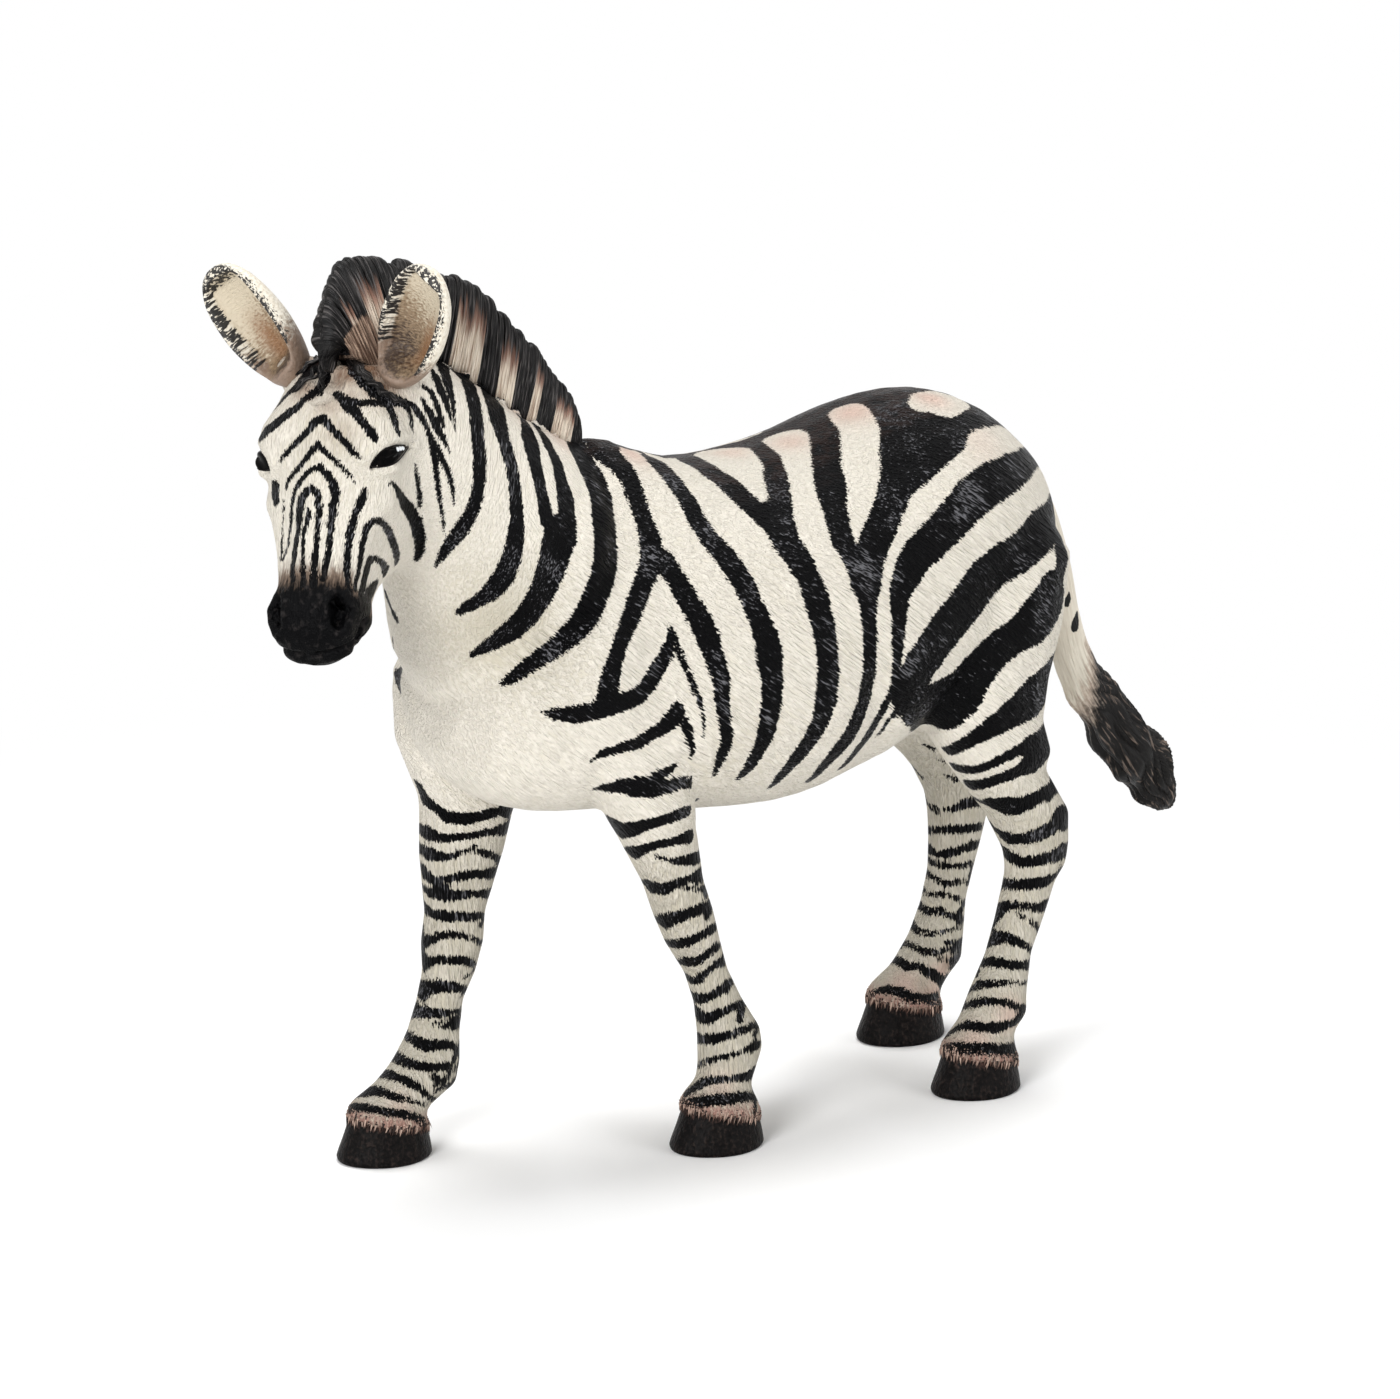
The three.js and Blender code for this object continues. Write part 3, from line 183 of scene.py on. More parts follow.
# Strokes of the neck, from the mane down
NECK_STROKES = [
    [(442, 343, 3), (450, 352, 6), (458, 365, 8), (467, 380, 10), (472, 395, 11),
     (476, 415, 12), (478, 440, 13), (480, 460, 13), (479, 480, 13), (476, 500, 13),
     (470, 515, 14), (463, 527, 16), (453, 540, 14), (444, 552, 10), (438, 562, 6),
     (435, 567, 2)],
    [(483, 372, 6), (488, 385, 13), (493, 400, 14), (498, 420, 14), (504, 440, 12),
     (510, 460, 12), (514, 480, 12), (516, 500, 13), (517, 520, 14), (515, 540, 18),
     (511, 560, 20), (503, 578, 22), (493, 590, 20), (480, 600, 14), (468, 606, 12),
     (459, 612, 8)],
    [(508, 392, 3), (518, 405, 7), (524, 418, 12), (530, 440, 13), (534, 460, 12),
     (539, 480, 11), (543, 500, 12), (547, 520, 14)],
    [(541, 432, 4), (549, 447, 7), (557, 462, 9), (561, 480, 11), (566, 500, 16),
     (567, 520, 18), (566, 540, 20)],
    [(558, 540, 32), (552, 565, 30), (543, 590, 26), (530, 612, 24), (515, 628, 22),
     (500, 638, 18), (486, 647, 12), (472, 655, 6)],
    [(388, 600, 2), (397, 620, 3)],
    [(393, 643, 3), (394, 660, 4), (397, 678, 5), (400, 688, 3)],
]
# Strokes that cross from the cheek on to the neck, and how many of them the far side of the
# neck repeats, while the far cheek repeats the others
JOWL_ON_NECK = 6
JOWL_STROKES = [
    [(400, 400, 6), (412, 405, 6), (420, 415, 7), (428, 430, 5), (433, 445, 8),
     (435, 460, 8), (437, 475, 6), (438, 490, 5), (440, 500, 4), (443, 520, 4),
     (444, 533, 1)],
    [(437, 447, 6), (443, 460, 6), (449, 475, 6), (453, 490, 5), (454, 505, 2)],
    [(421, 398, 2), (428, 410, 7), (436, 425, 9), (443, 438, 6), (450, 452, 2)],
    [(424, 387, 4), (432, 393, 5), (438, 408, 6), (443, 425, 5)],
    [(432, 370, 3), (436, 378, 7), (441, 390, 8), (446, 402, 6), (451, 418, 3),
     (456, 432, 1)],
    [(438, 356, 4), (443, 368, 8), (447, 380, 8), (450, 392, 7), (453, 405, 5),
     (455, 420, 2)],
    [(415, 463, 2), (417, 478, 4), (419, 492, 5), (420, 505, 5)],
    [(388, 486, 1), (392, 481, 2), (393, 484, 3), (398, 492, 5), (403, 502, 6),
     (410, 512, 9), (416, 525, 11), (420, 540, 11), (419, 552, 9), (416, 560, 5)],
]
# Strokes of the brow and the nose
BROW_STROKES = [
    [(262, 436, 5), (272, 427, 7), (285, 416, 8), (298, 407, 7), (310, 396, 8),
     (320, 388, 8), (326, 380, 8)],
    [(272, 409, 2), (283, 399, 3), (293, 389, 4), (303, 378, 6), (313, 367, 8),
     (322, 358, 8)],
    [(285, 385, 2), (292, 376, 5), (303, 370, 5), (312, 362, 5)],
    [(280, 461, 3), (287, 452, 6), (298, 441, 6), (308, 431, 7), (316, 421, 8),
     (322, 418, 9), (328, 425, 8), (336, 433, 7), (346, 443, 7), (353, 452, 7),
     (359, 457, 4)],
    [(286, 487, 3), (290, 478, 4), (300, 466, 5), (309, 455, 6), (318, 445, 8),
     (325, 452, 6), (334, 460, 5), (343, 468, 5), (350, 476, 4), (355, 483, 2)],
    [(283, 560, 2), (288, 545, 2), (291, 525, 3), (292, 505, 3), (295, 490, 4),
     (303, 478, 5), (312, 469, 6), (320, 467, 7), (328, 476, 8), (334, 486, 9),
     (336, 495, 9), (333, 508, 9), (331, 520, 8), (330, 535, 7), (329, 550, 6),
     (326, 565, 7), (323, 578, 7)],
    [(293, 580, 5), (293, 565, 5), (295, 548, 5), (298, 530, 5), (299, 515, 7),
     (301, 500, 8), (306, 492, 8), (312, 489, 8), (318, 495, 8), (319, 510, 6),
     (318, 525, 6), (317, 540, 6), (315, 555, 7), (314, 570, 7), (313, 585, 8)],
    [(308, 508, 3), (308, 518, 6), (305, 528, 4), (303, 540, 4), (303, 555, 4),
     (303, 570, 5), (303, 585, 6)],
    [(284, 500, 1), (283, 520, 1), (282, 540, 2), (281, 560, 2)],
    [(275, 490, 8), (276, 500, 6)],
]
# Strokes of the near cheek, which the far one repeats
CHEEK_STROKES = [
    [(336, 394, 8), (345, 402, 12), (352, 408, 14), (358, 416, 10), (364, 424, 9),
     (371, 433, 9), (376, 440, 7), (379, 443, 3)],
    [(345, 400, 8), (360, 403, 7), (375, 403, 7), (388, 402, 8)],
    [(388, 405, 6), (393, 415, 7), (396, 425, 6), (399, 435, 3)],
    [(404, 404, 6), (410, 412, 5), (412, 425, 4), (413, 443, 1)],
    [(365, 490, 6), (362, 500, 9), (357, 510, 7), (353, 522, 8), (350, 535, 8),
     (348, 550, 7), (347, 565, 7), (348, 580, 6), (350, 592, 5)],
    [(355, 590, 4), (358, 575, 4), (361, 558, 5), (363, 542, 6), (367, 528, 7),
     (373, 521, 6), (381, 521, 7), (388, 530, 6), (392, 540, 6), (396, 552, 5),
     (397, 562, 3)],
    [(360, 600, 5), (363, 588, 5), (366, 572, 6), (369, 562, 6), (375, 558, 5),
     (382, 563, 5), (386, 572, 4), (387, 584, 3)],
    [(364, 612, 8), (368, 600, 7), (371, 592, 6), (376, 586, 6), (381, 590, 4)],
]
# Black hair painted between the ears
FORELOCK_STROKES = [
    [(328, 345, 20), (327, 360, 16), (325, 372, 12), (323, 385, 8), (321, 394, 4)],
    [(345, 350, 10), (350, 360, 14), (357, 372, 14), (366, 382, 14), (376, 392, 14),
     (388, 399, 14), (398, 401, 10), (408, 404, 6)],
]
# Bands down each leg, which go on round it
LEG_STROKES = {
    "front_right": [
        [(418, 785, 4), (424, 798, 8), (436, 808, 8), (447, 817, 12), (465, 819, 13),
         (480, 816, 10), (500, 811, 9), (511, 807, 8)],
        [(418, 825, 12), (428, 833, 12), (440, 838, 10), (460, 837, 8), (480, 834, 7),
         (495, 831, 8), (506, 828, 8)],
        [(418, 845, 12), (430, 854, 12), (442, 857, 10), (455, 856, 6), (462, 853, 3)],
        [(472, 852, 4), (480, 852, 6), (489, 854, 8), (498, 859, 8)],
        [(420, 865, 8), (424, 872, 10), (432, 880, 8)],
        [(440, 880, 8), (450, 879, 9), (462, 876, 9), (475, 874, 9),
         (485, 874, 9), (493, 873, 9)],
        [(422, 885, 4), (427, 891, 7), (440, 894, 12), (455, 895, 12), (468, 894, 8),
         (478, 894, 7), (489, 893, 7)],
        [(424, 905, 4), (430, 913, 8), (445, 916, 11), (460, 917, 11), (478, 916, 9),
         (484, 917, 8)],
        [(421, 935, 10), (424, 942, 12), (432, 939, 10), (445, 934, 7), (458, 935, 7),
         (470, 938, 6), (478, 941, 6)],
        [(421, 962, 16), (424, 968, 10), (430, 961, 10), (442, 959, 9), (460, 960, 9),
         (472, 963, 10), (476, 967, 4)],
        [(419, 985, 16), (427, 988, 15), (440, 986, 13), (452, 987, 11), (462, 989, 9),
         (466, 990, 5)],
        [(414, 1008, 10), (420, 1012, 13), (432, 1013, 11), (445, 1013, 8), (456, 1012, 6)],
        [(434, 1024, 4), (445, 1025, 7), (455, 1026, 8), (459, 1023, 8)],
        [(406, 1032, 9), (415, 1041, 11), (425, 1046, 13), (438, 1045, 11), (450, 1044, 9),
         (456, 1049, 6)],
        [(396, 1057, 12), (405, 1062, 11), (418, 1066, 10), (432, 1067, 9), (448, 1067, 9),
         (459, 1070, 6)],
        [(386, 1074, 9), (395, 1077, 9), (407, 1081, 9), (417, 1087, 9), (426, 1094, 6)],
        [(370, 1091, 9), (380, 1092, 9), (392, 1096, 8), (404, 1099, 7), (415, 1102, 4)],
        [(444, 1084, 8), (450, 1089, 6)],
        [(358, 1107, 9), (370, 1109, 8), (385, 1112, 8), (400, 1114, 8), (415, 1117, 8),
         (423, 1122, 7), (427, 1129, 4)],
    ],
    "front_left": [
        [(592, 790, 2), (605, 788, 8), (620, 786, 14), (640, 787, 22), (655, 787, 22),
         (668, 787, 14), (680, 783, 12), (690, 783, 12)],
        [(655, 777, 10), (668, 771, 8), (677, 764, 2)],
        [(603, 822, 6), (615, 827, 14), (628, 830, 14), (645, 825, 12), (660, 821, 10),
         (675, 816, 10), (688, 811, 9)],
        [(622, 849, 4), (632, 853, 10), (645, 848, 10), (660, 844, 8), (675, 841, 8),
         (690, 836, 12)],
        [(670, 860, 4), (680, 861, 9), (693, 859, 12)],
        [(641, 882, 6), (650, 886, 10), (664, 889, 12), (675, 884, 9), (688, 879, 8),
         (699, 876, 12)],
        [(694, 889, 4), (704, 889, 9)],
        [(655, 921, 8), (663, 922, 14), (675, 917, 13), (688, 914, 11), (700, 909, 10),
         (711, 904, 8)],
        [(667, 943, 4), (676, 944, 9), (690, 941, 10), (700, 936, 8), (710, 930, 8),
         (717, 924, 8)],
        [(679, 962, 4), (688, 962, 10), (700, 960, 9), (708, 952, 6), (716, 947, 6),
         (721, 941, 6)],
        [(688, 978, 6), (696, 981, 9), (705, 973, 7), (715, 965, 6), (724, 959, 8),
         (728, 957, 8)],
        [(696, 998, 10), (706, 998, 10), (716, 993, 9), (727, 985, 9), (737, 978, 7)],
        [(698, 1014, 12), (706, 1019, 12), (718, 1014, 9), (730, 1008, 8), (742, 1004, 9),
         (748, 1000, 10)],
        [(698, 1038, 10), (710, 1039, 11), (725, 1036, 9), (740, 1031, 8), (752, 1026, 8),
         (762, 1024, 8)],
        [(702, 1063, 7), (714, 1059, 6), (728, 1056, 6), (742, 1051, 5), (755, 1045, 7),
         (764, 1040, 5)],
        [(697, 1086, 8), (707, 1081, 9), (720, 1080, 7), (735, 1078, 7), (750, 1075, 9)],
        [(688, 1103, 9), (700, 1102, 12), (715, 1100, 12), (732, 1099, 12), (748, 1096, 10),
         (760, 1096, 8)],
    ],
    "hind_right": [
        [(897, 765, 5), (905, 770, 11), (911, 766, 5)],
        [(921, 800, 3), (926, 804, 6), (929, 806, 2)],
        [(944, 809, 3), (955, 809, 6), (965, 804, 11), (975, 802, 9), (983, 805, 6)],
        [(929, 830, 8), (940, 830, 7), (950, 829, 9), (965, 829, 9), (978, 827, 7),
         (985, 825, 5)],
        [(930, 850, 7), (938, 855, 6), (950, 853, 11), (962, 849, 8), (975, 845, 7),
         (983, 841, 6)],
        [(929, 860, 4), (936, 864, 6), (948, 866, 7), (960, 866, 6), (970, 863, 5),
         (977, 862, 4)],
        [(927, 873, 5), (935, 879, 6), (947, 884, 7), (960, 882, 5), (970, 880, 10),
         (974, 875, 7)],
        [(923, 890, 5), (933, 895, 5), (944, 894, 6), (955, 898, 6), (966, 903, 8)],
        [(919, 905, 6), (928, 912, 8), (940, 911, 8), (950, 916, 7), (960, 920, 8),
         (965, 918, 6)],
        [(912, 925, 6), (919, 932, 7), (930, 934, 6), (942, 932, 5), (955, 929, 3)],
        [(957, 942, 5), (962, 941, 6)],
        [(904, 943, 6), (914, 947, 6), (925, 952, 8), (938, 952, 7), (950, 949, 3)],
        [(900, 962, 10), (908, 967, 9), (918, 966, 7), (928, 972, 11), (938, 978, 12)],
        [(950, 961, 4), (958, 961, 9), (961, 957, 8)],
        [(878, 991, 6), (888, 989, 8), (900, 992, 11), (912, 998, 11), (925, 999, 10),
         (937, 1001, 11), (945, 1010, 6)],
    ],
    "hind_left": [
        [(982, 802, 3), (992, 803, 10), (1005, 806, 17), (1018, 807, 17), (1030, 801, 14),
         (1042, 795, 13), (1053, 788, 12)],
        [(998, 832, 4), (1008, 838, 11), (1020, 839, 10), (1035, 836, 13), (1048, 830, 13),
         (1058, 824, 11), (1067, 817, 14)],
        [(1002, 848, 4), (1010, 856, 10), (1022, 862, 11), (1037, 861, 11), (1050, 857, 11),
         (1062, 852, 12), (1069, 848, 6)],
        [(1004, 884, 12), (1015, 885, 11), (1030, 884, 12), (1045, 882, 11), (1058, 877, 8)],
        [(996, 914, 14), (1004, 907, 12), (1015, 905, 8), (1027, 906, 7), (1038, 908, 9),
         (1046, 906, 9)],
        [(1030, 922, 4), (1036, 926, 6)],
        [(985, 947, 7), (994, 938, 12), (1005, 937, 12), (1016, 941, 9), (1028, 947, 8)],
        [(978, 963, 8), (988, 962, 10), (1000, 963, 11), (1012, 965, 10), (1025, 965, 9)],
        [(968, 990, 7), (978, 985, 9), (990, 984, 8), (1005, 983, 7), (1022, 983, 4)],
        [(962, 1008, 8), (975, 1003, 9), (990, 1001, 8), (1005, 1003, 8), (1018, 1007, 7),
         (1026, 1009, 9)],
        [(956, 1029, 5), (968, 1025, 10), (980, 1027, 10), (995, 1028, 12), (1010, 1024, 7)],
        [(942, 1052, 10), (955, 1048, 12), (970, 1049, 13), (985, 1049, 13), (1000, 1050, 12),
         (1015, 1050, 12)],
    ],
}
LEG_NODES = {leg: leg + "_leg" for leg in LEG_STROKES}
# The left eye, clockwise from its inner corner
EYE_OUTLINE = [
    (370, 467), (372, 462), (376, 456.5), (381, 451.5), (387, 447.8), (394, 445.8), (401, 445.4),
    (408, 446.3), (405.5, 451), (402, 456), (398, 460.5), (393, 464), (387, 466.4), (378, 467.6),
]
# Forms of the face: a line in the photograph's pixels, its width and height in mm
FACE_FORMS = [
    ([(364, 462), (371, 451), (381, 443), (392, 439), (404, 439), (413, 444)], 0.55, 0.34),
    ([(358, 442), (372, 431), (392, 428), (412, 436)], 1.7, 0.4),
    ([(370, 473), (382, 474), (394, 471), (405, 462)], 0.5, 0.22),
    ([(356, 480), (370, 484), (385, 485), (398, 480)], 1.2, -0.28),
    ([(392, 492), (378, 510), (365, 535), (354, 562)], 1.5, 0.35),
    ([(340, 505), (342, 535), (340, 560)], 1.5, -0.3),
    ([(322, 420), (314, 470), (308, 520), (303, 565)], 1.5, 0.28),
    ([(390, 505), (402, 520), (410, 545), (405, 566)], 1.3, 0.3),
    ([(366, 630), (358, 650)], 1.6, -0.75),
    ([(339, 601), (340, 612), (336, 623)], 0.78, -1.35),
    ([(330, 594), (325, 604), (325, 617), (329, 629), (337, 636)], 0.42, 0.5),
    ([(345, 597), (350, 608), (349, 620), (344, 631)], 0.5, 0.3),
    ([(364, 622), (358, 636), (348, 646), (334, 652), (318, 655)], 0.3, -0.5),
    ([(357, 643), (346, 653), (332, 659), (315, 661)], 0.5, 0.25),
]
# Forms of the body, alike on both sides
BODY_FORMS = [
    ([(556, 470), (545, 520), (540, 580), (548, 640), (570, 690)], 2.6, -0.35),
    ([(640, 500), (660, 560), (672, 620), (668, 680)], 2.6, -0.3),
    ([(590, 560), (600, 620), (600, 680)], 3.4, 0.5),
    ([(880, 690), (884, 720), (874, 748), (858, 768)], 2.0, -0.55),
    ([(905, 640), (912, 680), (915, 715)], 2.6, 0.4),
    ([(860, 470), (880, 520), (890, 570)], 3.0, -0.25),
    ([(1000, 600), (1020, 640), (1030, 690)], 2.4, -0.25),
]
# How much further the black of the spine comes down on the far side, in mm
SPINE_FAR = 3.5
# How far a stroke goes on past its traced ends, in mm, and in what steps
RUMP_RUN_ON, NECK_RUN_UP, LEG_RUN_ON, RUN_STEP = 8, 1.5, 2.0, 0.8
# A leg's stroke runs on from an end that faces the camera less squarely than this
LEG_END_FACING = 0.93
# The distance from a stroke at which it stops counting, and the longest step of a stroke
REACH, LONGEST_STEP = 3.0, 10.0
# How wide and how hard the crease behind the cheek is filled
JOWL_REACH, JOWL_ROUNDS, CREASE_PULL = 2.6, 60, 0.6

# Pinkish bare paint: across, down, size in mm and strength
BLUSHES = [
    (630, 452, 2.2, 0.8), (730, 452, 2.0, 0.6), (790, 442, 2.2, 0.7), (852, 412, 2.6, 0.9),
    (930, 398, 2.0, 0.9), (478, 372, 2.0, 0.5), (560, 440, 2.0, 0.5), (520, 400, 2.0, 0.4),
    (980, 440, 3.0, 0.3), (940, 975, 1.6, 0.9), (905, 985, 1.8, 0.8), (935, 995, 1.6, 0.9),
    (1010, 1015, 1.8, 0.7), (975, 1040, 1.8, 0.7), (720, 1090, 1.8, 0.5), (400, 1106, 1.4, 0.5),
]
# Where the jaw stays clear of the muzzle's black
JAW_CLEAR = [(362, 588, 1.3, 0.9), (367, 600, 1.4, 0.9)]
# Where the ivory is painted darker: across, down, size in mm and strength
DARKENED_SPOTS = [(500, 630, 6.5, 0.85), (330, 440, 5, 0.5), (740, 760, 6, 0.3)]
# Tan fur between the ears and above the muzzle
TANS = [
    (345, 375, 2.4, 0.9), (370, 360, 2.6, 0.95), (330, 405, 1.8, 0.5), (350, 395, 1.6, 0.5),
    (300, 395, 2.0, 0.35), (340, 430, 1.8, 0.3), (378, 380, 1.8, 0.8), (310, 372, 1.8, 0.7),
    (300, 356, 2.0, 0.9), (287, 372, 1.4, 0.4), (352, 368, 2.4, 0.9), (368, 368, 2.8, 1.0),
    (380, 386, 2.4, 0.9), (305, 388, 1.8, 0.7), (948, 962, 1.0, 0.5), (925, 990, 1.0, 0.35),
]


# Sums on surfaces

def tint(red, green, blue):
    """A colour written as a paint maker does, 0 to 255, as Blender's linear values."""
    channels = [c / 255 for c in (red, green, blue)]
    return tuple(c / 12.92 if c <= 0.04045 else ((c + 0.055) / 1.055) ** 2.4
                 for c in channels) + (1.0,)


def unit(v):
    length = np.linalg.norm(v, axis=-1, keepdims=True)
    return v / np.maximum(length, 1e-12)


def eased(x, low, high):
    """0 below low, 1 above high, and smooth between."""
    t = np.clip((x - low) / (high - low), 0, 1)
    return t * t * (3 - 2 * t)


def point_normals(points, faces):
    """The normals at a surface's points, whose faces have three or four sides."""
    a, b, c = (points[faces[:, k]] for k in (0, 1, 2))
    if faces.shape[1] == 4:
        across = np.cross(c - a, points[faces[:, 3]] - b)
    else:
        across = np.cross(b - a, c - a)
    total = np.zeros_like(points)
    for column in range(faces.shape[1]):
        for k in range(3):
            total[:, k] += np.bincount(faces[:, column], across[:, k], len(points))
    return unit(total)


def neighbours(points, faces):
    """Each edge's two ends, both ways round, and how many edges meet at each point."""
    sides = faces.shape[1]
    pairs = np.concatenate([faces[:, (k, (k + 1) % sides)] for k in range(sides)])
    pairs = np.unique(np.sort(pairs, axis=1), axis=0)
    ends = np.concatenate([pairs, pairs[:, ::-1]])
    return ends, np.bincount(ends[:, 0], minlength=len(points))[:, None]


def to_neighbours(points, ends, count):
    """From each point to the middle of its neighbours."""
    mean = np.stack([np.bincount(ends[:, 0], points[ends[:, 1], k], len(points))
                     for k in range(3)], 1) / count
    return mean - points


def smoothed(points, faces, rounds):
    """Facets and steps taken out of a closed surface without shrinking it."""
    edges = neighbours(points, faces)
    points = points.copy()
    for pull in (0.5, -0.53) * rounds:
        points += pull * to_neighbours(points, *edges)
    return points


def smoothed_where(points, faces, share, rounds):
    """Points drawn to the middle of their neighbours, by share, which fills a crease."""
    edges = neighbours(points, faces)
    points = points.copy()
    for _ in range(rounds):
        points += CREASE_PULL * share[:, None] * to_neighbours(points, *edges)
    return points


def fans(faces):
    """The faces cut into triangles, each from its first corner."""
    return np.array([(f[0], f[k], f[k + 1]) for f in faces for k in range(1, len(f) - 1)])


def from_segment(points, a, b):
    """How far points lie from the line between two ends, and at which share of it."""
    span = b - a
    share = np.clip((points - a) @ span / max(span @ span, 1e-9), 0, 1)
    return np.linalg.norm(points - a - share[:, None] * span, axis=1), share


def across_body(points):
    """Points mirrored in the middle plane of the body."""
    return points * (1, -1, 1)


def across_head(points):
    """Points mirrored in the middle plane of the head."""
    return points - 2 * ((points - POLL) @ HEAD_LEFT)[..., None] * HEAD_LEFT


def trees_of(*nodes):
    """A search tree for each CAD node's shell."""
    return [BVHTree.FromPolygons(p.tolist(), f.tolist())
            for p, f in (node_shell(n, 0) for n in nodes)]


def node_shell(node, growth, top=None):
    """A CAD node's merged points, moved out by growth, and its triangles, in mm. Points
    further up the neck than top are drawn together under it, and so leave the skin."""
    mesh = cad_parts[node].data
    mesh.calc_loop_triangles()
    points = np.empty(len(mesh.vertices) * 3, np.float32)
    mesh.vertices.foreach_get("co", points)
    triangles = np.empty(len(mesh.loop_triangles) * 3, np.int32)
    mesh.loop_triangles.foreach_get("vertices", triangles)
    merged, same = np.unique(np.round(points.reshape(-1, 3) / MM, 3), axis=0,
                             return_inverse=True)
    triangles = same.reshape(-1)[triangles].reshape(-1, 3)
    whole = ((triangles[:, 0] != triangles[:, 1]) & (triangles[:, 1] != triangles[:, 2])
             & (triangles[:, 2] != triangles[:, 0]))
    triangles = triangles[whole]
    merged = merged.astype(float)
    grown = merged + growth * point_normals(merged, triangles)
    if top:
        grown[past_parting(merged) > top] = NECK_ORIGIN + NECK_PARTING * (top - 3)
    return grown, triangles


def plug(node, growth, *around):
    """A node's shell drawn down on to the nodes it seats in, so that it fills its seat."""
    shells = trees_of(*around)
    points, triangles = node_shell(node, growth)
    found = [min((shell.find_nearest(Vector(p)) for shell in shells), key=lambda f: f[3])
             for p in points]
    places, apart = np.array([f[0] for f in found]), np.array([f[3] for f in found])
    drawn = np.minimum(1, PLUG_PROUD / np.maximum(apart, 1e-6))
    return places + (points - places) * drawn[:, None], triangles


def egg(centre, axes, radii, sides=16, rows=9, last_tilt=1.45):
    """A closed egg, as a shell for a skin."""
    around = np.linspace(0, 2 * math.pi, sides, endpoint=False)
    rings = []
    for tilt in np.linspace(-last_tilt, last_tilt, rows):
        own = np.stack([math.cos(tilt) * np.cos(around), math.cos(tilt) * np.sin(around),
                        np.full(sides, math.sin(tilt))], 1)
        rings.append(centre + own * radii @ axes)
    points, faces = wrapped(rings)
    return points, fans(faces)


def in_scene(name, data):
    """A new object of the scene with that data."""
    made = bpy.data.objects.new(name, data)
    SCENE.collection.objects.link(made)
    return made


def finished_mesh(holder):
    """The mesh that an object's modifiers make, while the object leaves the scene."""
    made = bpy.data.meshes.new_from_object(
        holder.evaluated_get(bpy.context.evaluated_depsgraph_get()))
    start = holder.data
    holder.modifiers.clear()
    bpy.data.objects.remove(holder)
    bpy.data.meshes.remove(start)
    return made


def one_skin(shells, cell, growth, rounds):
    """One smooth closed skin over several shells, which overlap once they are grown."""
    points, triangles, count = [], [], 0
    for own, faces in shells:
        points.append(own)
        triangles.append(faces + count)
        count += len(own)
    block = bpy.data.meshes.new("block")
    block.from_pydata(np.concatenate(points).tolist(), [], np.concatenate(triangles).tolist())
    holder = in_scene("block", block)
    cells = holder.modifiers.new("cells", "REMESH")
    cells.mode, cells.voxel_size, cells.adaptivity = "VOXEL", cell, 0
    skin = finished_mesh(holder)
    flat = np.empty(len(skin.vertices) * 3, np.float32)
    skin.vertices.foreach_get("co", flat)
    corners = np.empty(len(skin.loops), np.int32)
    skin.loops.foreach_get("vertex_index", corners)
    bpy.data.meshes.remove(skin)
    faces = corners.reshape(-1, 4)
    points = smoothed(flat.reshape(-1, 3).astype(float), faces, rounds)
    steps = max(2, round(growth / 0.1))
    for _ in range(steps):
        points = points - growth / steps * point_normals(points, faces)
        points = smoothed(points, faces, 2)
    return Skin(points, faces)


class Skin:
    """A closed surface in mm that paint and carving are laid on."""

    def __init__(self, points, faces):
        self.points, self.faces = points, faces
        self.refresh()

    def refresh(self):
        self.normals = point_normals(self.points, self.faces)
        self.tree = BVHTree.FromPolygons(self.points.tolist(), self.faces.tolist())

    def part(self, kept):
        """The faces whose points are all kept, as a skin of their own."""
        faces = self.faces[kept[self.faces].all(1)]
        used, places = np.unique(faces, return_inverse=True)
        return Skin(self.points[used], places.reshape(faces.shape))

    def nearest(self, point):
        place, normal, _, _ = self.tree.find_nearest(Vector(point))
        return np.array(place), np.array(normal)

    def under(self, across, down):
        """The point of the skin under a place in the photograph, or the one closest to it."""
        aim = unit(VIEW_RIGHT * (across - PHOTO_WIDTH / 2) / FOCAL_PIXELS
                   - VIEW_UP * (down - PHOTO_HEIGHT / 2) / FOCAL_PIXELS - VIEW_BACK)
        place, normal, _, _ = self.tree.ray_cast(Vector(VIEWPOINT), Vector(aim))
        if place is not None:
            return np.array(place), np.array(normal), True
        tries = [VIEWPOINT + aim * d for d in VIEW_DEPTHS]
        found = [self.tree.find_nearest(Vector(t)) for t in tries]
        best = min(found, key=lambda f: f[3])
        return np.array(best[0]), np.array(best[1]), False


class Track:
    """A brush stroke on the skin: its centres, half-widths and the way the skin faces."""

    def __init__(self, centres, halves, facing):
        self.centres, self.halves, self.facing = (np.array(a, float)
                                                  for a in (centres, halves, facing))

    def run_on(self, skin, length, start=True):
        """The stroke carried on over the skin, before its start or past its end."""
        order = 1 if start else -1
        centres, halves, facing = (list(values[::order]) for values in
                                   (self.centres, self.halves, self.facing))
        way = unit(centres[0] - centres[1])
        for _ in range(int(length / RUN_STEP)):
            place, normal = skin.nearest(centres[0] + way * RUN_STEP)
            way = unit(place - centres[0] + 1e-9)
            centres.insert(0, place)
            halves.insert(0, halves[0])
            facing.insert(0, normal)
        return Track(centres[::order], halves[::order], facing[::order])

    def copy_on(self, skin, moved):
        """The stroke with its centres moved and laid on the skin again."""
        found = [skin.nearest(p) for p in moved]
        return Track([f[0] for f in found], self.halves, [f[1] for f in found])

    def mirrored(self, skin, across):
        return self.copy_on(skin, across(self.centres))

    def behind(self, skin, middle):
        """The stroke on the side of a leg that the photograph doesn't show."""
        depth = (self.centres - middle(self.centres[:, 2])) @ VIEW_LEVEL
        return self.copy_on(skin, self.centres - 2 * depth[:, None] * VIEW_LEVEL)


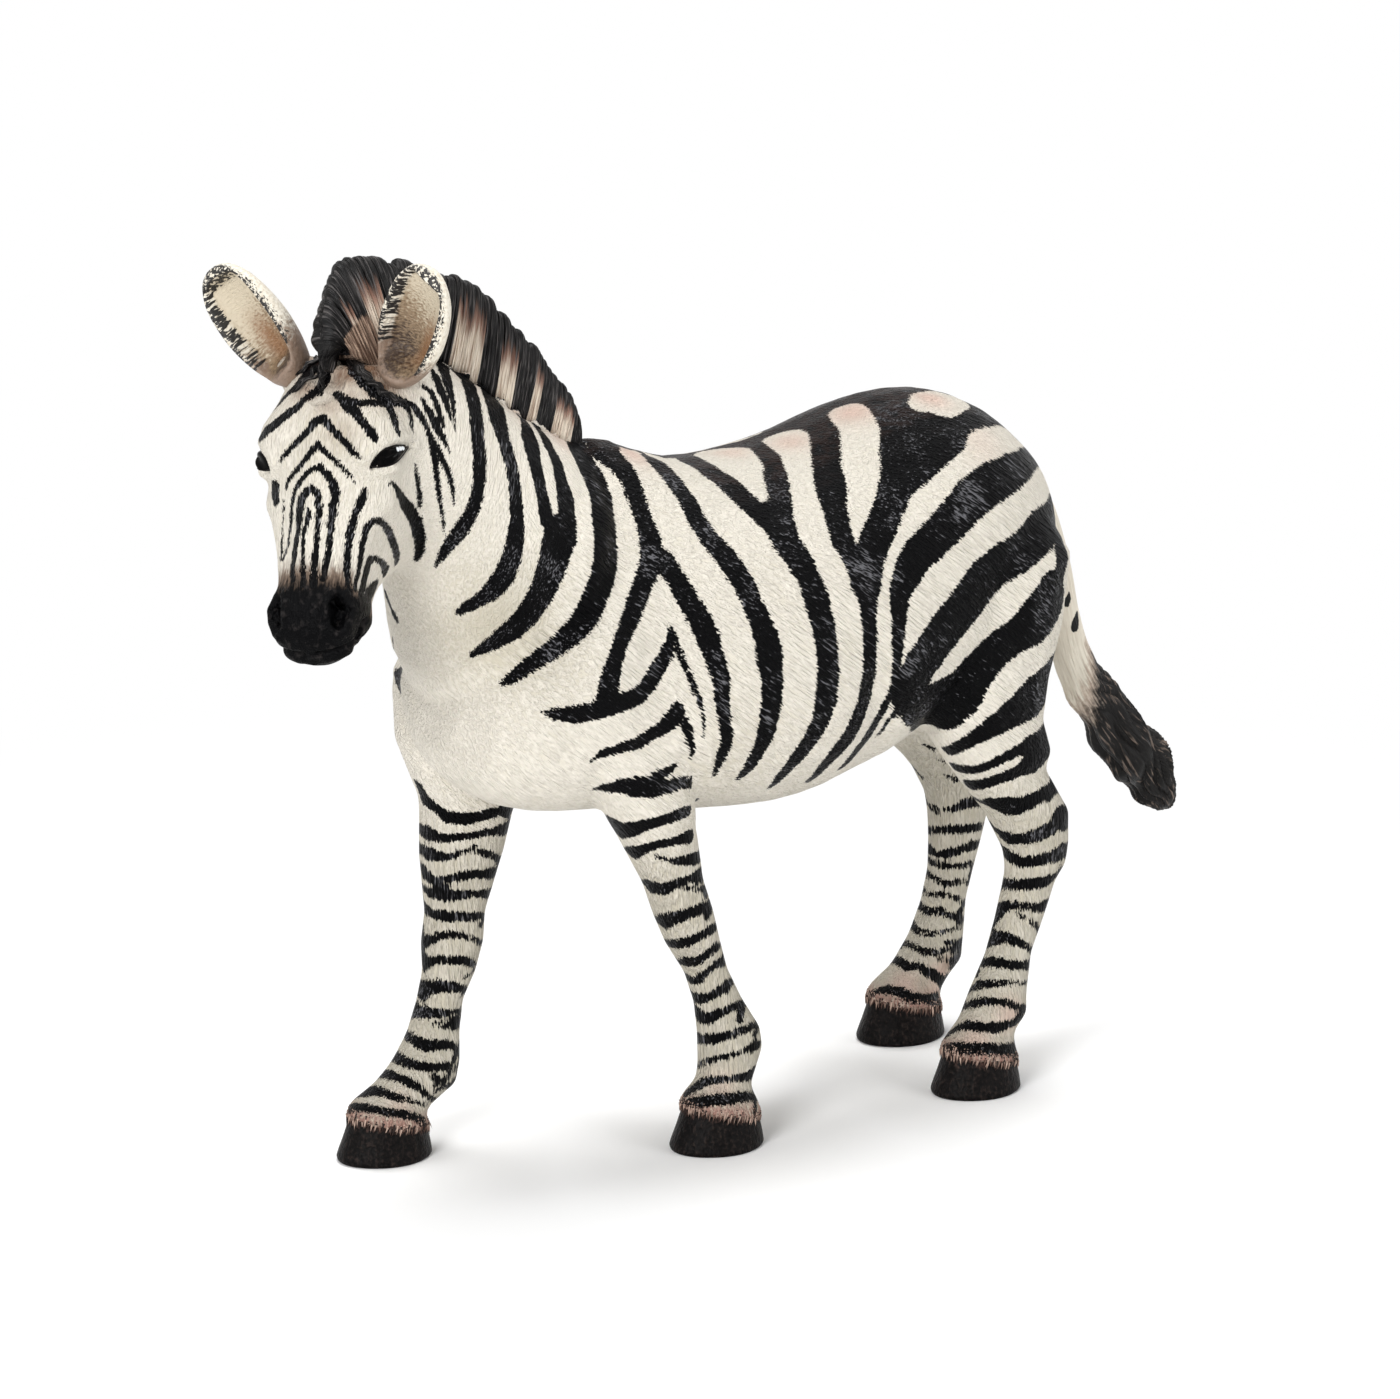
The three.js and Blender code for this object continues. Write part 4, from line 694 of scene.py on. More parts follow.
def traced(skin, stroke):
    """A stroke of the photograph laid on the skin at its true width."""
    pixels = np.array(stroke, float)
    along = unit(np.gradient(pixels[:, :2], axis=0))
    centres, halves, facing = [], [], []
    for (across, down, width), (run, fall) in zip(pixels, along):
        half = width / 2
        place, normal, seen = skin.under(across, down)
        edges = [skin.under(across + s * fall * half, down - s * run * half)
                 for s in (1, -1)]
        nominal = half * VIEW_DISTANCE / FOCAL_PIXELS
        spans = [np.linalg.norm(e[0] - place) for e in edges if e[2]]
        spans = [s for s in spans if s < 3 * nominal + 0.3]
        centres.append(place)
        facing.append(normal)
        halves.append(max(nominal, float(np.mean(spans))) if spans and seen else nominal)
    return Track(centres, halves, facing)


def paint_reach(skin, tracks):
    """How far each point of the skin lies outside the painted strokes, in mm."""
    reach = np.full(len(skin.points), REACH)
    for track in tracks:
        low = track.centres.min(0) - REACH - track.halves.max()
        high = track.centres.max(0) + REACH + track.halves.max()
        near = np.nonzero(((skin.points > low) & (skin.points < high)).all(1))[0]
        if not len(near):
            continue
        own, normals = skin.points[near], skin.normals[near]
        best = reach[near]
        for i in range(len(track.centres) - 1):
            a, b = track.centres[i], track.centres[i + 1]
            if np.linalg.norm(b - a) > LONGEST_STEP:
                continue
            gap, share = from_segment(own, a, b)
            gap -= track.halves[i] + share * (track.halves[i + 1] - track.halves[i])
            gap[normals @ unit(track.facing[i] + track.facing[i + 1]) < -0.1] = REACH
            best = np.minimum(best, gap)
        reach[near] = best
    return reach


def stained(skin, tree, spots):
    """Soft spots of colour: 1 in the middle of the strongest and 0 away from them."""
    total = np.zeros(len(skin.points))
    for across, down, size, strength in spots:
        place = tree.under(across, down)[0]
        away = np.linalg.norm(skin.points - place, axis=1) / size
        total = np.maximum(total, strength * np.exp(-away ** 2))
    return total


def carved(skin, line, width, height):
    """Points moved along their normals by height near a line, fading over width."""
    near = ((skin.points > line.min(0) - 3 * width)
            & (skin.points < line.max(0) + 3 * width)).all(1)
    own = skin.points[near]
    gap = np.full(len(skin.points), np.inf)
    gap[near] = np.min([from_segment(own, a, b)[0] for a, b in zip(line, line[1:])], axis=0)
    skin.points = skin.points + (height * np.exp(-(gap / width) ** 2))[:, None] * skin.normals


def shape(skin, forms, across):
    """Forms traced from the photograph, carved alike into both sides of a skin."""
    for pixels, width, height in forms:
        line = np.array([skin.under(*p)[0] for p in pixels])
        for side in (line, across(line)):
            carved(skin, np.array([skin.nearest(p)[0] for p in side]), width, height)
        skin.refresh()


# Materials

class Wire:
    """A socket of a material's nodes that can be used in sums."""

    def __init__(self, paint, socket):
        self.paint, self.socket = paint, socket

    def _sum(self, operation, first, second):
        return self.paint.node("ShaderNodeMath", {"operation": operation},
                               {0: first, 1: second})

    def __add__(self, other):
        return self._sum("ADD", self, other)

    def __radd__(self, other):
        return self._sum("ADD", other, self)

    def __sub__(self, other):
        return self._sum("SUBTRACT", self, other)

    def __rsub__(self, other):
        return self._sum("SUBTRACT", other, self)

    def __mul__(self, other):
        return self._sum("MULTIPLY", self, other)

    def __rmul__(self, other):
        return self._sum("MULTIPLY", other, self)

    def over(self, low, high):
        """0 below low, 1 above high, and smooth between."""
        return self.paint.node(
            "ShaderNodeMapRange", {"interpolation_type": "SMOOTHSTEP"},
            {"Value": self, "From Min": low, "From Max": high})


class Paint:
    """A material or a world being mixed."""

    def __init__(self, name, kind="materials"):
        self.made = getattr(bpy.data, kind).new(name)
        self.made.use_nodes = True
        self.tree = self.made.node_tree
        self.tree.nodes.clear()

    def node(self, kind, settings, sockets, out=0):
        """A node of that kind, and the wire from one of its outputs, if it has any."""
        made = self.tree.nodes.new(kind)
        for key, value in settings.items():
            setattr(made, key, value)
        for key, value in sockets.items():
            if isinstance(value, Wire):
                self.tree.links.new(value.socket, made.inputs[key])
            elif value is not None:
                made.inputs[key].default_value = value
        return Wire(self, made.outputs[out]) if made.outputs else None

    def attribute(self, name, out="Fac"):
        return self.node("ShaderNodeAttribute", {"attribute_name": name}, {}, out)

    def mixed(self, share, first, second):
        return self.node("ShaderNodeMix", {"data_type": "RGBA"},
                         {0: share, 6: first, 7: second}, 2)

    def place(self):
        return self.node("ShaderNodeTexCoord", {}, {}, "Object")

    def noise(self, where, scale=1.0, detail=2.0, roughness=0.5):
        return self.node("ShaderNodeTexNoise", {}, {"Vector": where, "Scale": scale,
                                                    "Detail": detail, "Roughness": roughness})

    def grain(self, size, detail=2):
        """An even noise of that size in mm."""
        return self.noise(self.place(), 1 / (size * MM), detail)

    def hairs(self, way, length, width, shift=0):
        """A noise drawn out along the hairs, which lie along way."""
        way = Vector(way).normalized()
        side = way.orthogonal().normalized()
        turn = Matrix((way, side, way.cross(side))).transposed().to_euler()
        laid = self.node("ShaderNodeMapping", {"vector_type": "TEXTURE"},
                         {"Vector": self.place(), "Location": (shift * MM,) * 3,
                          "Rotation": turn,
                          "Scale": (length * MM, width * MM, width * MM)})
        return self.noise(laid, roughness=0.55)

    def seen(self):
        """1 for rays that come from the camera, straight, mirrored or through glass."""
        return sum(self.node("ShaderNodeLightPath", {}, {}, kind)
                   for kind in ("Is Camera Ray", "Is Glossy Ray", "Is Transmission Ray"))

    def bumped(self, height, distance, strength=1.0):
        """The normal of a surface with that relief, whose full height is distance, in mm."""
        return self.node("ShaderNodeBump", {},
                         {"Height": height, "Distance": distance * MM,
                          "Strength": strength}, "Normal")

    def shown(self, shader, end="ShaderNodeOutputMaterial"):
        """What was mixed, finished with that shader."""
        self.node(end, {}, {"Surface": shader})
        return self.made

    def finished(self, colour, rough, gloss=None, normal=None):
        """The material with that colour, roughness, share of gloss and relief."""
        return self.shown(self.node("ShaderNodeBsdfPrincipled", {}, {
            "Base Color": colour, "Roughness": rough, "Specular IOR Level": gloss,
            "Normal": normal}))


IVORY = tint(224, 218, 206)
# A darker ivory, mixed in for painted shade between the hairs, patchy tone, and the places painted
# darker
IVORY_SHADE = tint(192, 185, 168)
BLUSH = tint(214, 186, 172)
TAN = tint(128, 100, 80)
BLACK_PAINT = tint(4, 4, 5)
# Grey for the black paint: dry-brushed wear on the raised hairs, and painted sheen
BLACK_SHEEN_AND_WEAR = tint(116, 116, 120)
MUZZLE_BROWN = tint(96, 74, 58)
SPINE_BROWN = tint(34, 20, 15)
FRINGE = tint(170, 132, 120)


def coat_paint(name, lies, hair, rag, relief_height):
    """Hand-painted ivory and black over carved hair. lies: hair directions, each with the
    attribute that says where it holds. hair: a stroke's length and width in mm. rag: how far
    the hairs at a stripe's edge stray, in mm."""
    p = Paint(name)
    length, width = hair
    fine = coarse = edge = 0.0
    for way, where in lies:
        held = p.attribute(where)
        fine = p.hairs(way, length, width) * held + fine
        coarse = p.hairs(way, length * 2.5, width * 2.8, 3) * held + coarse
        edge = p.hairs(way, length * 0.6, width * 0.5, 7) * held + edge
    patch = p.grain(5.0, 3)
    mist = p.grain(0.5, 2)
    leather = p.grain(0.8, 3)
    ragged = p.attribute("stripe") + (edge - 0.5) * rag + (mist - 0.5) * 0.3
    bare = ragged.over(-0.05, 0.06)
    # Painted shade in the grooves between the carved hairs, patchy tone at random, and the places
    # painted darker
    shade_and_tone = (0.56 - fine).over(0.0, 0.2) * 0.4 + (patch - 0.5) * 0.5
    shade_and_tone = shade_and_tone + p.attribute("darkened") * 0.85
    ivory = p.mixed(shade_and_tone.over(0.0, 1.0), IVORY, IVORY_SHADE)
    ivory = p.mixed(p.attribute("blush"), ivory, BLUSH)
    ivory = p.mixed(p.attribute("tan") + (fine - 0.5) * p.attribute("tan"), ivory, TAN)
    ivory = p.mixed(p.attribute("fringe") * (fine + 0.3).over(0.5, 0.9), ivory, FRINGE)
    # Grey streaks on the black: dry-brushed wear, and painted sheen where light would catch the
    # hair
    sheen_and_wear = (edge * 0.6 + fine * 0.4 + (patch - 0.5) * 0.45).over(0.57, 0.67)
    black = p.mixed(sheen_and_wear * 0.75, BLACK_PAINT, BLACK_SHEEN_AND_WEAR)
    black = p.mixed(p.attribute("ridge") * coarse.over(0.35, 0.6) * 0.8, black, SPINE_BROWN)
    muzzle = p.attribute("muzzle") + (mist - 0.5) * 0.2 + (fine - 0.5) * 0.5
    ivory = p.mixed(muzzle.over(0.0, 0.4) * 0.9, ivory, MUZZLE_BROWN)
    coat = p.mixed(bare, black, ivory)
    nose = p.mixed(leather.over(0.52, 0.74) * 0.5, BLACK_PAINT, tint(54, 50, 49))
    coat = p.mixed((muzzle - bare * 0.1).over(0.2, 0.6), coat, nose)
    strokes = fine.over(0.34, 0.66)
    relief = (strokes * 0.5 + coarse * 0.6 + edge * 0.4) * (1 - p.attribute("muzzle") * 0.8)
    relief = relief * (1 + p.attribute("on_leg") * 0.8)
    relief = relief + leather * p.attribute("muzzle") * 1.4
    rough = bare * 0.24 + 0.34 - muzzle.over(0.5, 0.9) * 0.06
    return p.finished(coat, rough, 0.05, p.bumped(relief + mist * 0.1, relief_height, 0.9))


# Pieces

def placed(mesh):
    """A smooth piece with the mesh's name, riding on the body."""
    mesh.shade_smooth()
    piece = in_scene(mesh.name, mesh)
    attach(piece, BODY)
    return piece


def made_piece(name, points, faces, material, slot, **attributes):
    """A finished piece from points in mm, with its attributes, riding on the body."""
    mesh = bpy.data.meshes.new(name)
    mesh.from_pydata((np.asarray(points) * MM).tolist(), [],
                     [list(f) for f in faces] if isinstance(faces, list) else faces.tolist())
    for key, values in attributes.items():
        kind = "FLOAT" if np.ndim(values) == 1 else "FLOAT_VECTOR"
        field = mesh.attributes.new(key, kind, "POINT").data
        field.foreach_set("value" if kind == "FLOAT" else "vector",
                          np.asarray(values, np.float32).ravel())
    mesh.materials.append(material)
    return placed(mesh)


def wrapped(rings):
    """Points and faces of a tube through rings of equal count, closed by a hub at each end."""
    rings = np.asarray(rings, float)
    rows, count = rings.shape[:2]
    points = list(rings.reshape(-1, 3))
    faces = []
    for r in range(rows - 1):
        for k in range(count):
            n = (k + 1) % count
            faces.append((r * count + k, r * count + n, (r + 1) * count + n,
                          (r + 1) * count + k))
    for row in (0, rows - 1):
        points.append(rings[row].mean(0))
        for k in range(count):
            edge = (row * count + k, row * count + (k + 1) % count)
            faces.append((*(edge if row else edge[::-1]), len(points) - 1))
    points = np.array(points)
    a, b, c = points[fans(faces)].transpose(1, 0, 2)
    if np.einsum("ij,ij->i", a, np.cross(b, c)).sum() < 0:
        faces = [f[::-1] for f in faces]
    return points, faces


def row_at(table, places):
    """The table read smoothly between its rows, at places counted in rows."""
    table = np.asarray(table, float)
    places = np.clip(places, 0, len(table) - 1)
    left = np.minimum(places.astype(int), len(table) - 2)
    t = (places - left)[:, None]
    before, after = table[np.maximum(left - 1, 0)], table[np.minimum(left + 2, len(table) - 1)]
    a, b = table[left], table[left + 1]
    return 0.5 * (2 * a + (b - before) * t + (2 * before - 5 * a + 4 * b - after) * t ** 2
                  + (3 * a - before - 3 * b + after) * t ** 3)


def curve_through(table, count):
    """A smooth run of values through a table's rows, evenly in the table's own steps."""
    return row_at(table, np.linspace(0, len(table) - 1, count))


def run_along(line):
    """The way covered from a line's start to each of its points."""
    return np.concatenate([[0], np.cumsum(np.linalg.norm(np.diff(line, axis=0), axis=1))])


def capped(values):
    """The values of a tube's points, with those of its two hubs."""
    return np.concatenate([values, values[:1], values[-1:]])


def squared(axis, look):
    """The unit axis, and look turned square to it."""
    axis = unit(np.array(axis))
    return axis, unit(look - look @ axis * axis)


# Body and head skins

# How far from an eye its seat is cut, and how deep and how steeply, in mm
EYE_REACH, LID_DEPTH, SOCKET_DEPTH, SOCKET_SLOPE = 4, 0.12, 0.5, 2.2
# How far a skin draws back under the other: where both go on, and where it ends
TUCK, TUCK_END = 0.3, 1.5
# Places past the parting, in mm, over which the body's skin and the head's draw back so
BODY_TUCKS, HEAD_TUCKS = ((3.5, 8), (8, 12)), ((3, 7.5), (0.8, 3.2))
# Heights over which the legs' coat goes over into the body's, and way up the neck over which
# the body's goes over into the neck's, in mm
LEG_COAT, NECK_COAT = (26, 40), (0, 14)
# Heights over which the spine's brown comes in, and how dull the legs' ivory is
SPINE_RISE, LEG_DARKENING = (50, 56), 0.65
# The middle of the muzzle, in mm down and out from the poll, and where its black ends
MUZZLE_MIDDLE, MUZZLE_REACH = (25, -4), (11, 12.5)


def past_parting(points):
    """How far points lie on the neck's side of the plane where it parts from the body."""
    return (points - NECK_ORIGIN) @ NECK_PARTING


def to_neck_axis(points):
    """From each point straight in to the line up the middle of the neck."""
    own = points - NECK_ORIGIN
    return -unit(own - (own @ NECK_PARTING)[:, None] * NECK_PARTING)


def head_shares(points):
    """Places along, out of and to the left of the head, in shares of its size."""
    own = points - POLL
    return own @ HEAD_DOWN / HEAD_LENGTH, own @ HEAD_OUT / HEAD_DEPTH, own @ HEAD_LEFT / HEAD_WIDTH


def blended_jowl(skin):
    """The crease between cheek and neck filled, as the figure's cast skin has it."""
    gaps = [np.array([tree.find_nearest(Vector(p))[3] for p in skin.points])
            for tree in trees_of("head", "neck")]
    share = np.exp(-(np.maximum(*gaps) / JOWL_REACH) ** 2)
    share = share * (1 - eased(head_shares(skin.points)[0], 0.42, 0.6))
    return Skin(smoothed_where(skin.points, skin.faces, share, JOWL_ROUNDS), skin.faces)


def almond(skin, overlap=3, steps=6):
    """The outline of the left eye on the face, smooth."""
    rough = np.array([skin.under(*p)[0] for p in EYE_OUTLINE])
    closed = np.concatenate([rough[-overlap:], rough, rough[:overlap]])
    run = curve_through(closed, steps * (len(closed) - 1) + 1)
    return run[overlap * steps:-overlap * steps - 1]


def seat_eye(skin, edge, facing):
    """The skin kept behind an eye's outline, so that the ball can lie in it."""
    middle = edge.mean(0)
    near = np.nonzero(np.linalg.norm(skin.points - middle, axis=1) < EYE_REACH)[0]
    own, rim = skin.points[near] - middle, edge - middle
    height, rim_height = own @ facing, rim @ facing
    flat, rim_flat = own - height[:, None] * facing, rim - rim_height[:, None] * facing
    gaps = np.linalg.norm(flat[:, None] - rim_flat[None], axis=2)
    closest = gaps.argmin(1)
    inside = np.linalg.norm(flat, axis=1) < np.linalg.norm(rim_flat[closest], axis=1)
    signed = np.where(inside, -gaps.min(1), gaps.min(1))
    limit = (rim_height[closest] - LID_DEPTH - SOCKET_DEPTH * eased(-signed, 0, 0.5)
             + SOCKET_SLOPE * np.maximum(signed, 0))
    skin.points[near] += np.minimum(limit - height, 0)[:, None] * facing
    skin.refresh()


body = one_skin([node_shell("torso", SKIN_GROWTH), node_shell("neck", SKIN_GROWTH, 17),
                 *(node_shell(leg, SKIN_GROWTH) for leg in LEG_NODES.values()),
                 plug("tail", SKIN_GROWTH, "torso"), plug("mane", SKIN_GROWTH, "neck")],
                BODY_CELL, SKIN_GROWTH, BODY_ROUNDS)
shape(body, BODY_FORMS, across_body)
head_shells = [node_shell("head", HEAD_GROWTH), node_shell("neck", HEAD_GROWTH),
               *(plug(node, SKIN_GROWTH, "head", "neck")
                 for node in ("mane", "left_ear", "right_ear"))]
for (seat, axis, look, _, _), lift in zip(EARS.values(), EAR_FUR_LIFT):
    axis, look = squared(axis, look)
    head_shells.append(egg(np.array(seat) - MIDDLE_SHIFT + axis * lift - look * 0.8,
                           np.array((np.cross(axis, look), look, axis)),
                           np.array(EAR_FUR) + HEAD_GROWTH))
head = blended_jowl(one_skin(head_shells, HEAD_CELL, HEAD_GROWTH, HEAD_ROUNDS))
eye_edge = almond(head)
eye_facing = head.nearest(eye_edge.mean(0))[1]
far_eye_edge = across_head(eye_edge)[::-1]
far_eye_facing = eye_facing - 2 * (eye_facing @ HEAD_LEFT) * HEAD_LEFT
shape(head, FACE_FORMS, across_head)
for edge, facing in ((eye_edge, eye_facing), (far_eye_edge, far_eye_facing)):
    seat_eye(head, edge, facing)
past = past_parting(body.points)
tucked = TUCK * eased(past, *BODY_TUCKS[0]) + TUCK_END * eased(past, *BODY_TUCKS[1])
body.points = body.points + to_neck_axis(body.points) * tucked[:, None]
past = past_parting(head.points)
tucked = (TUCK * (1 - eased(past, *HEAD_TUCKS[0]))
          + TUCK_END * (1 - eased(past, *HEAD_TUCKS[1])))
head.points = head.points + to_neck_axis(head.points) * tucked[:, None]
body.refresh()
head.refresh()


def leg_mask(leg, points, top=LEG_TOP):
    """Which points belong to that leg, below its top."""
    front, left = leg.startswith("front"), leg.endswith("left")
    return ((points[:, 2] < top) & ((points[:, 0] < 0) == front)
            & ((points[:, 1] < 0) == left))


def above_leg(own, stroke):
    """Whether a leg's stroke starts on the body, above the leg's own part."""
    for across, down, _ in stroke:
        place, _, seen = body.under(across, down)
        if seen and place[2] > LEG_TOP - 1 and not own.under(across, down)[2]:
            return True
    return False


def leg_tracks(leg, strokes):
    """The strokes of a leg on the side seen and on the side away from the camera."""
    own = body.part(leg_mask(leg, body.points))
    levels = np.arange(0, LEG_TOP + 1)
    middles = []
    for level in levels:
        near = np.abs(own.points[:, 2] - level) < 1.2
        middles.append(own.points[near].mean(0) if near.any() else own.points.mean(0))
    middles = np.array(middles)

    def middle(heights):
        return np.stack([np.interp(heights, levels, middles[:, 0]),
                         np.interp(heights, levels, middles[:, 1]), heights], 1)

    tracks = []
    for stroke in strokes:
        above = above_leg(own, stroke)
        track = traced(body if above else own, stroke)
        for start, end in ((True, 0), (False, -1)):
            below = track.centres[end][2] < LEG_TOP - LEG_ROOT
            if below and track.facing[end] @ VIEW_BACK < LEG_END_FACING:
                track = track.run_on(own, LEG_RUN_ON, start)
        tracks += [track] if above else [track, track.behind(own, middle)]
    return tracks


# What the photograph shows of body and head as one
both = Skin(np.concatenate([body.points, head.points]),
            np.concatenate([body.faces, head.faces + len(body.points)]))
torso_tracks = [traced(body, s) for s in FLANK_STROKES]
torso_tracks += [traced(body, s).run_on(body, RUMP_RUN_ON) for s in RUMP_STROKES]
torso_tracks += [traced(both, s).run_on(both, NECK_RUN_UP) for s in NECK_STROKES]
jowl_tracks = [traced(both, s) for s in JOWL_STROKES]
window_tracks = [traced(body, s) for s in LOIN_WINDOWS]
body_tracks = torso_tracks + jowl_tracks
for leg, strokes in LEG_STROKES.items():
    body_tracks += leg_tracks(leg, strokes)
repeated = torso_tracks + jowl_tracks[:JOWL_ON_NECK]
far_tracks = [t.mirrored(body, across_body) for t in repeated]
far_windows = [t.mirrored(body, across_body) for t in window_tracks]

spine = np.array([body.under(*p)[0] for p in SPINE_EDGE])
spine = spine[np.argsort(spine[:, 0])]
spine_half = np.interp(body.points[:, 0], spine[:, 0], np.abs(spine[:, 1]), 0, 1.2)
spine_half = spine_half + np.where(body.points[:, 1] > 0, SPINE_FAR, 0)
spine_reach = np.where((body.normals[:, 2] > 0.05) & (body.points[:, 2] > SPINE_RISE[0])
                       & (body.points[:, 0] > spine[0, 0]),
                       np.abs(body.points[:, 1]) - spine_half, REACH)
hidden = body.normals @ VIEW_BACK < SEEN_FACING
stripe = np.minimum(paint_reach(body, body_tracks), spine_reach)
stripe = np.where(hidden, np.minimum(stripe, paint_reach(body, far_tracks)), stripe)
stripe = np.maximum(stripe, -paint_reach(body, window_tracks))
stripe = np.where(hidden, np.maximum(stripe, -paint_reach(body, far_windows)), stripe)

face_tracks = [traced(head, s) for s in BROW_STROKES + FORELOCK_STROKES]
cheek_tracks = [traced(head, s) for s in CHEEK_STROKES]
near_side = paint_reach(head, face_tracks + cheek_tracks + torso_tracks + jowl_tracks)
far_side = paint_reach(head, [t.mirrored(head, across_head)
                              for t in cheek_tracks + jowl_tracks[JOWL_ON_NECK:]]
                       + [t.mirrored(head, across_body) for t in repeated])
head_stripe = np.where(head.normals @ VIEW_BACK < SEEN_FACING,
                       np.minimum(near_side, far_side), near_side)


def coat_fields(skin):
    """What the paint shop's colours go by: shares from 0 to 1 for each point of a skin."""
    along, out, _ = head_shares(skin.points)
    up_neck = (skin.points - NECK_ORIGIN) @ NECK_AXIS
    on_leg = 1 - eased(skin.points[:, 2], *LEG_COAT)
    on_neck = eased(up_neck, *NECK_COAT) * (1 - on_leg)
    return {
        "darkened": np.maximum(stained(skin, both, DARKENED_SPOTS), LEG_DARKENING * on_leg),
        "ridge": eased(skin.normals[:, 2], 0.8, 0.98) * eased(skin.points[:, 2], *SPINE_RISE),
        "blush": stained(skin, both, BLUSHES), "tan": stained(skin, both, TANS),
        "on_leg": on_leg, "on_neck": on_neck, "on_body": 1 - on_leg - on_neck,
        "muzzle": eased(along - 0.1 * (out + 0.5) + 0.2 * np.minimum(out + 0.1, 0), 0.6, 0.84),
    }


body_fields = coat_fields(body)
body_fields["muzzle"] = np.zeros(len(body.points))
head_fields = coat_fields(head)
head_fields["fringe"] = np.zeros(len(head.points))
muzzle = POLL + HEAD_DOWN * MUZZLE_MIDDLE[0] + HEAD_OUT * MUZZLE_MIDDLE[1]
head_fields["muzzle"] *= 1 - stained(head, head, JAW_CLEAR)
head_fields["muzzle"] *= 1 - eased(np.linalg.norm(head.points - muzzle, axis=1),
                                   *MUZZLE_REACH)
along, out, _ = head_shares(head.points)
on_head = eased(out, -1.3, -0.9) * eased(along, -0.2, 0.1)
on_head = np.maximum(on_head, eased(along, 0.3, 0.5))
for key in ("on_leg", "on_neck", "on_body"):
    head_fields[key] = head_fields[key] * (1 - on_head)
head_fields["on_head"] = on_head

BODY_LIE, NECK_LIE, LEG_LIE = (0.8, 0, -0.6), (0.45, 0, -0.9), (0.1, 0, -1)
coat = coat_paint("painted_coat", ((BODY_LIE, "on_body"), (NECK_LIE, "on_neck"),
                                   (LEG_LIE, "on_leg")), (2.2, 0.28), 1.15, 0.48)
face_coat = coat_paint("painted_face", ((tuple(HEAD_DOWN), "on_head"), (NECK_LIE, "on_neck"),
                                        (BODY_LIE, "on_body")), (1.5, 0.22), 0.85, 0.36)


def coronet_depth(points):
    """How far points lie below the tilted top edge of the hoof they belong to."""
    depth = np.full(len(points), -9.0)
    for leg, (x, *_) in HOOF_ROWS.items():
        own = leg_mask(leg, points, 12)
        tilt = HOOF_PITCH * (x - MIDDLE_SHIFT[0] - points[own, 0])
        depth[own] = HOOF_HEIGHT + tilt - points[own, 2]
    return depth


below = coronet_depth(body.points)
hoofless = body.points - body.normals * (eased(below, -0.1, 0.5) * HOOF_INSET)[:, None]
body_fields["fringe"] = eased(below, -2.2, -0.2)
hide = made_piece("hide", hoofless, body.faces, coat, "ivory_paint", stripe=stripe,
                  **body_fields)
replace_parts(hide, "torso", "neck", *LEG_NODES.values())
face = made_piece("face", head.points, head.faces, face_coat, "ivory_paint",
                  stripe=head_stripe, **head_fields)
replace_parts(face, "head")


# Hooves

# From the sole up: height, size, how far the toe stands out, and how far the edge tilts
HOOF_PROFILE = [
    (0.0, 0.9, 0.06, 0.0), (0.015, 0.965, 0.06, 0.0), (0.06, 0.99, 0.06, 0.01),
    (0.14, 0.99, 0.058, 0.03), (0.5, 0.91, 0.03, 0.12), (0.86, 0.83, 0.01, 0.2),
    (1.0, 0.79, 0.0, 0.21), (1.08, 0.72, -0.005, 0.22), (1.1, 0.5, -0.005, 0.22),
]
HOOF_SIDES, HOOF_RINGS = 72, 60


def hoof_paint():
    p = Paint("hoof_horn")
    height = p.attribute("height")
    mist = p.grain(0.35, 3)
    streaks = p.hairs((0, 0, 1), 5.0, 0.35)
    horn = p.mixed(mist.over(0.35, 0.75), tint(5, 4, 4), tint(20, 16, 15))
    horn = p.mixed((streaks * 0.5 + mist * 0.5).over(0.5, 0.7) * 0.4, horn, tint(60, 50, 46))
    top = (height + (streaks - 0.5) * 0.5 + (mist - 0.5) * 0.3).over(0.8, 1.1)
    horn = p.mixed(top * 0.75, horn, tint(104, 78, 70))
    rings = p.hairs((0, 1, 0), 9.0, 0.5, 5)
    return p.finished(horn, 0.34 + mist * 0.2, 0.06,
                      p.bumped(mist * 0.5 + streaks * 0.5 + rings * 0.3, 0.3, 0.8))


def hoof_rings(leg):
    """The rings of a hoof from the sole up, and their heights as shares of its own."""
    x, y, half_length, half_width = HOOF_ROWS[leg]
    rows = curve_through(HOOF_PROFILE, HOOF_RINGS)
    around = np.linspace(0, 2 * math.pi, HOOF_SIDES, endpoint=False)
    ahead, aside = np.cos(around), np.sin(around)
    heel = 1 + 0.05 * np.cos(2 * around)
    rings = []
    for up, size, toe, pitch in rows:
        along = half_length * size * heel * ahead
        ring = np.stack([x - toe * 2 * half_length - along, y + half_width * size * aside,
                         np.maximum(up, 0) * HOOF_HEIGHT + pitch * along], 1)
        rings.append(ring - MIDDLE_SHIFT)
    return np.array(rings), rows[:, 0]


hoof_material = hoof_paint()
for leg in HOOF_ROWS:
    rings, heights = hoof_rings(leg)
    points, faces = wrapped(rings)
    made_piece("hoof_" + leg, points, faces, hoof_material, "black_paint",
               height=capped(np.repeat(heights, HOOF_SIDES)))


# Hair over the hooves

